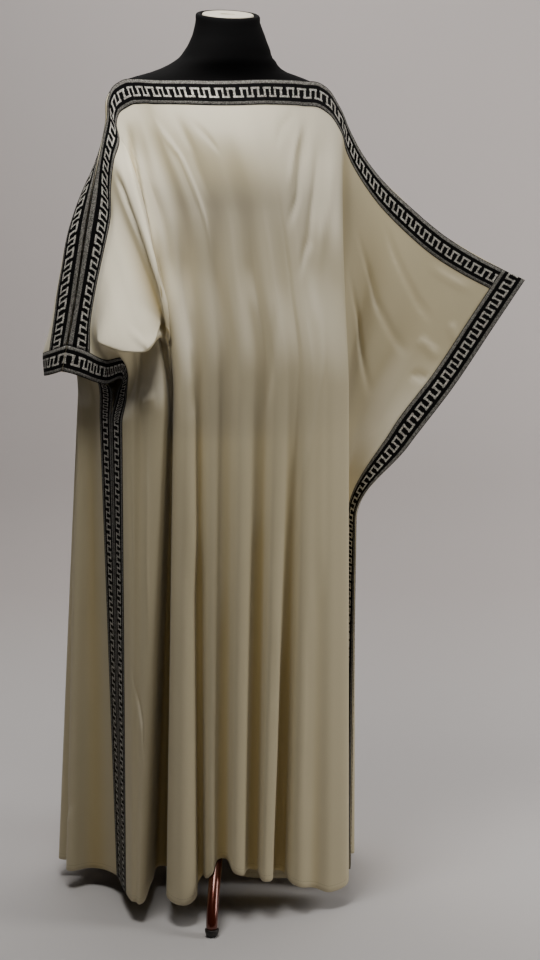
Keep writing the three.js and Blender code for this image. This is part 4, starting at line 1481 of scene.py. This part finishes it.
@dataclass
class Studio:
    """The floor and backdrop, the lights and the camera.

    Attributes:
        camera_place: Where the camera is, in millimetres.
        camera_tilt: How far it looks down, in degrees.
        lens: Its focal length on a frame 36 mm wide.
        floor: Colour of the paper on the floor.
        wall: Colour of the paper on the wall.
        rise: Height in metres over which the first turns into the second.
        wall_y: Where the wall is.
        bend: Radius of the paper's bend.
        half_width: Half the paper's width.
        front_y: Where the paper starts in front.
        wall_height: Height of the wall.
        room_tint: Colour of the room's own light.
        room_light: Strength of the room's own light.
        lamps: The lights.
    """

    camera_place: tuple[float, float, float] = (83, -3400, 1400)
    camera_tilt: float = 10.98
    lens: float = 73.7
    floor: tuple[float, float, float] = (205, 203, 204)
    wall: tuple[float, float, float] = (196, 190, 190)
    rise: float = 0.25
    wall_y: float = 1250.0
    bend: float = 500.0
    half_width: float = 4200.0
    front_y: float = -4200.0
    wall_height: float = 3600.0
    room_tint: tuple[float, float, float] = (0.92, 0.93, 1.0)
    room_light: float = 0.012
    lamps: tuple[Lamp, ...] = (
        Lamp("key", (-250, -560, 2150), (-100, -100, 1350), 17.5, 0.6, (1.0, 0.97, 0.92)),
        Lamp("ceiling", (200, -300, 3200), (0, 0, 800), 5, 2.0, (1.0, 0.9, 0.75)),
        Lamp("behind", (0, 500, 2900), (0, 0, 1000), 23, 1.2, (1.0, 0.98, 0.96)),
        Lamp("side", (2300, -300, 1300), (1500, 1250, 700), 36, 1.2, (1.0, 0.97, 0.92)),
    )

    def backdrop(self) -> None:
        """One sheet of paper: a level floor, a quarter-round bend and a wall, seen from the front only."""
        angle = np.linspace(0, math.pi / 2, 17)[1:]
        y = np.concatenate([[self.front_y, self.wall_y - self.bend],
                            self.wall_y - self.bend + self.bend * np.sin(angle), [self.wall_y]])
        z = np.concatenate([[0, 0], self.bend * (1 - np.cos(angle)), [self.wall_height]])
        x = np.linspace(-self.half_width, self.half_width, 3)
        points = np.stack([np.repeat(x[:, None], len(y), 1), np.tile(y, (3, 1)), np.tile(z, (3, 1))], axis=-1)
        faces = quads_of(3, len(y))[:, ::-1]
        paper = new_piece("paper", points.reshape(-1, 3), faces)
        material, nodes, principled = new_material("backdrop paper")
        place = nodes.add("ShaderNodeTexCoord").outputs["Object"]
        height = nodes.add("ShaderNodeSeparateXYZ")
        nodes.feed(height.inputs[0], place)
        up = nodes.add("ShaderNodeMapRange", {"Value": height.outputs[2], "From Max": self.rise})
        shade = nodes.mix(up.outputs[0], colour(*self.floor), colour(*self.wall))
        nodes.feed(principled.inputs["Base Color"], shade)
        principled.inputs["Roughness"].default_value = 0.9
        away = nodes.add("ShaderNodeNewGeometry").outputs["Backfacing"]
        nodes.feed(principled.inputs["Alpha"], nodes.value("SUBTRACT", 1.0, away))
        paper.data.materials.append(material)

    def build(self) -> None:
        """Makes the backdrop, the lights, the room's own light and the camera."""
        self.backdrop()
        for lamp in self.lamps:
            lamp.build()
        world = bpy.data.worlds.new("room")
        world.use_nodes = True
        background = world.node_tree.nodes["Background"]
        background.inputs[0].default_value = (*self.room_tint, 1.0)
        background.inputs[1].default_value = self.room_light
        bpy.context.scene.world = world
        data = bpy.data.cameras.new("camera")
        data.lens = self.lens
        data.sensor_width = 36.0
        camera = bpy.data.objects.new("camera", data)
        camera.location = Vector((np.array(self.camera_place) + PLACE) * MM)
        camera.rotation_euler = (math.radians(90 - self.camera_tilt), 0, 0)
        bpy.context.scene.collection.objects.link(camera)
        bpy.context.scene.camera = camera


# Creases of the front: ridges that ease the body's valleys, then down the left sleeve and beside the body's
# first fold, from the neck and the chest, the right shoulder, the spread sleeve, the swag and the cloth under
# the left arm. Columns: places, width, depth and, where it isn't the usual one, how long the ends are.
FRONT_CREASES = (
    Crease(((-158, 300), (-164, 560), (-158, 860)), 14, 3.8, 0.18),
    Crease(((-96, 340), (-92, 640), (-99, 1010)), 13, 3.2, 0.2),
    Crease(((-16, 310), (-12, 590), (-18, 820)), 14, 3.8, 0.16),
    Crease(((64, 350), (68, 700), (62, 1080)), 13, 3.2, 0.2),
    Crease(((146, 300), (142, 600), (149, 900)), 14, 3.6, 0.18),
    Crease(((-300, 42), (-306, 118), (-312, 188), (-300, 271)), 7, -6.5, 0.2),
    Crease(((-256, 48), (-272, 110), (-280, 186), (-284, 263)), 9, 4.5, 0.25),
    Crease(((-196, 62), (-226, 146), (-248, 211), (-262, 300)), 8, -5.0, 0.2),
    Crease(((-185, 57), (-201, 171), (-195, 247), (-190, 364)), 9, -3.2, 0.25),
    Crease(((-190, 400), (-188, 620), (-176, 900)), 14, 4.0),
    Crease(((-155, 57), (-141, 103), (-142, 178), (-142, 250), (-136, 330)), 10, 2.4),
    Crease(((-150, 50), (-121, 133), (-118, 201), (-104, 320)), 4.5, 1.7),
    Crease(((-70, 65), (-30, 125)), 5, -0.8),
    Crease(((-92, 230), (-96, 420), (-90, 570)), 5, -0.9),
    Crease(((-54, 180), (-50, 380), (-56, 600)), 5, 1.2),
    Crease(((-8, 210), (-4, 420), (-10, 560)), 5, -1.0),
    Crease(((34, 190), (38, 360), (30, 520)), 5, 1.1),
    Crease(((78, 170), (86, 330), (80, 560)), 5, -1.3),
    Crease(((116, 200), (112, 400), (118, 620)), 5, 1.2),
    Crease(((-96, 52), (-88, 120), (-92, 210)), 7, -1.6),
    Crease(((135, 46), (100, 84), (85, 118)), 6, -1.1),
    Crease(((155, 46), (140, 133), (128, 194), (90, 255)), 8, -2.6),
    Crease(((146, 60), (120, 130), (104, 200)), 6, 1.5),
    Crease(((178, 80), (170, 178), (150, 263), (100, 341)), 8, -2.6),
    Crease(((205, 80), (195, 186), (170, 325)), 8, 2.2),
    Crease(((75, 320), (65, 504), (65, 685)), 9, 1.0),
    Crease(((170, 340), (150, 470), (120, 606), (90, 716)), 9, 1.3),
    Crease(((40, 360), (12, 470), (-10, 590)), 8, -1.2),
    Crease(((-175, 440), (-178, 575)), 8, -2.0),
    Crease(((-40, 330), (-52, 470), (-50, 640)), 9, -1.0),
    Crease(((372, 50), (440, 90), (525, 128), (591, 150)), 6, -2.2),
    Crease(((305, 118), (418, 178), (570, 224)), 8, -2.8),
    Crease(((300, 200), (400, 262), (520, 317)), 9, -3.0),
    Crease(((290, 290), (350, 350), (430, 400)), 9, -2.4),
    Crease(((600, 128), (633, 160)), 7, 1.8),
    Crease(((560, 182), (623, 200)), 7, 2.0),
    Crease(((585, 244), (630, 240)), 6, -1.8),
    Crease(((500, 60), (560, 62), (620, 58)), 6, 1.6),
    Crease(((-385, 205), (-345, 262), (-300, 330), (-215, 434)), 8, -4.5),
    Crease(((-400, 250), (-350, 300), (-300, 352)), 9, 3.5),
    Crease(((-430, 190), (-380, 228), (-330, 250)), 8, 2.8),
    Crease(((-545, 452), (-500, 478), (-430, 476)), 14, 4.0),
    Crease(((-596, 930), (-540, 1000), (-466, 1066), (-420, 1180)), 9, -2.6),
    Crease(((-590, 520), (-578, 756), (-574, 1015)), 10, -2.4),
    Crease(((-470, 540), (-458, 763), (-430, 960)), 10, 2.4),
    Crease(((-120, 760), (-128, 1086), (-120, 1361)), 9, -1.8),
    Crease(((20, 800), (44, 1070), (40, 1361)), 9, 1.6),
    Crease(((118, 820), (124, 1062), (120, 1353)), 9, -1.8),
)

# Similar creases of the back: from each shoulder, down the hanging folds and into the spread sleeve.
BACK_CREASES = (
    Crease(((-262, 60), (-230, 160), (-210, 300), (-204, 520)), 10, -3.0),
    Crease(((-185, 70), (-152, 170), (-140, 330)), 9, 2.6),
    Crease(((-92, 50), (-74, 140), (-62, 270)), 7, -1.6),
    Crease(((48, 56), (40, 170), (50, 300)), 7, 1.6),
    Crease(((118, 120), (108, 220), (100, 380)), 9, -2.0),
    Crease(((176, 70), (150, 190), (142, 360)), 9, 2.4),
    Crease(((232, 140), (205, 260), (196, 460), (204, 660)), 10, -3.0),
    Crease(((330, 70), (392, 170), (482, 250)), 9, -2.4),
    Crease(((282, 130), (352, 262), (440, 360)), 10, -2.6),
    Crease(((300, 280), (380, 400), (470, 470)), 10, 2.2),
    Crease(((560, 110), (600, 190), (622, 280)), 7, -1.8),
    Crease(((-420, 160), (-446, 320), (-432, 520)), 10, -2.6),
    Crease(((-350, 120), (-372, 260), (-352, 420)), 9, 2.4),
    Crease(((-550, 520), (-556, 787), (-545, 1062)), 10, -2.5),
    Crease(((-486, 560), (-505, 800), (-492, 1100)), 11, 2.5),
    Crease(((-534, 1240), (-500, 1300), (-470, 1340)), 8, -1.8),
    Crease(((-300, 640), (-316, 900), (-308, 1240)), 10, -2.4),
    Crease(((-4, 690), (12, 960), (-6, 1260)), 10, -2.6),
    Crease(((268, 760), (282, 1000), (274, 1290)), 10, -2.4),
    Crease(((424, 620), (440, 860), (430, 1150)), 10, 2.2),
)


def main() -> None:
    """Builds the studio, the form, its stand and the garment."""
    logging.basicConfig(level=logging.INFO, format="%(name)s %(message)s")
    Studio().build()
    finishes = Finishes()
    form = DressForm()
    form.build(finishes)
    Stand().build(finishes)
    Garment(form, FRONT_CREASES, BACK_CREASES).build(finishes)


if __name__ == "__main__":
    main()
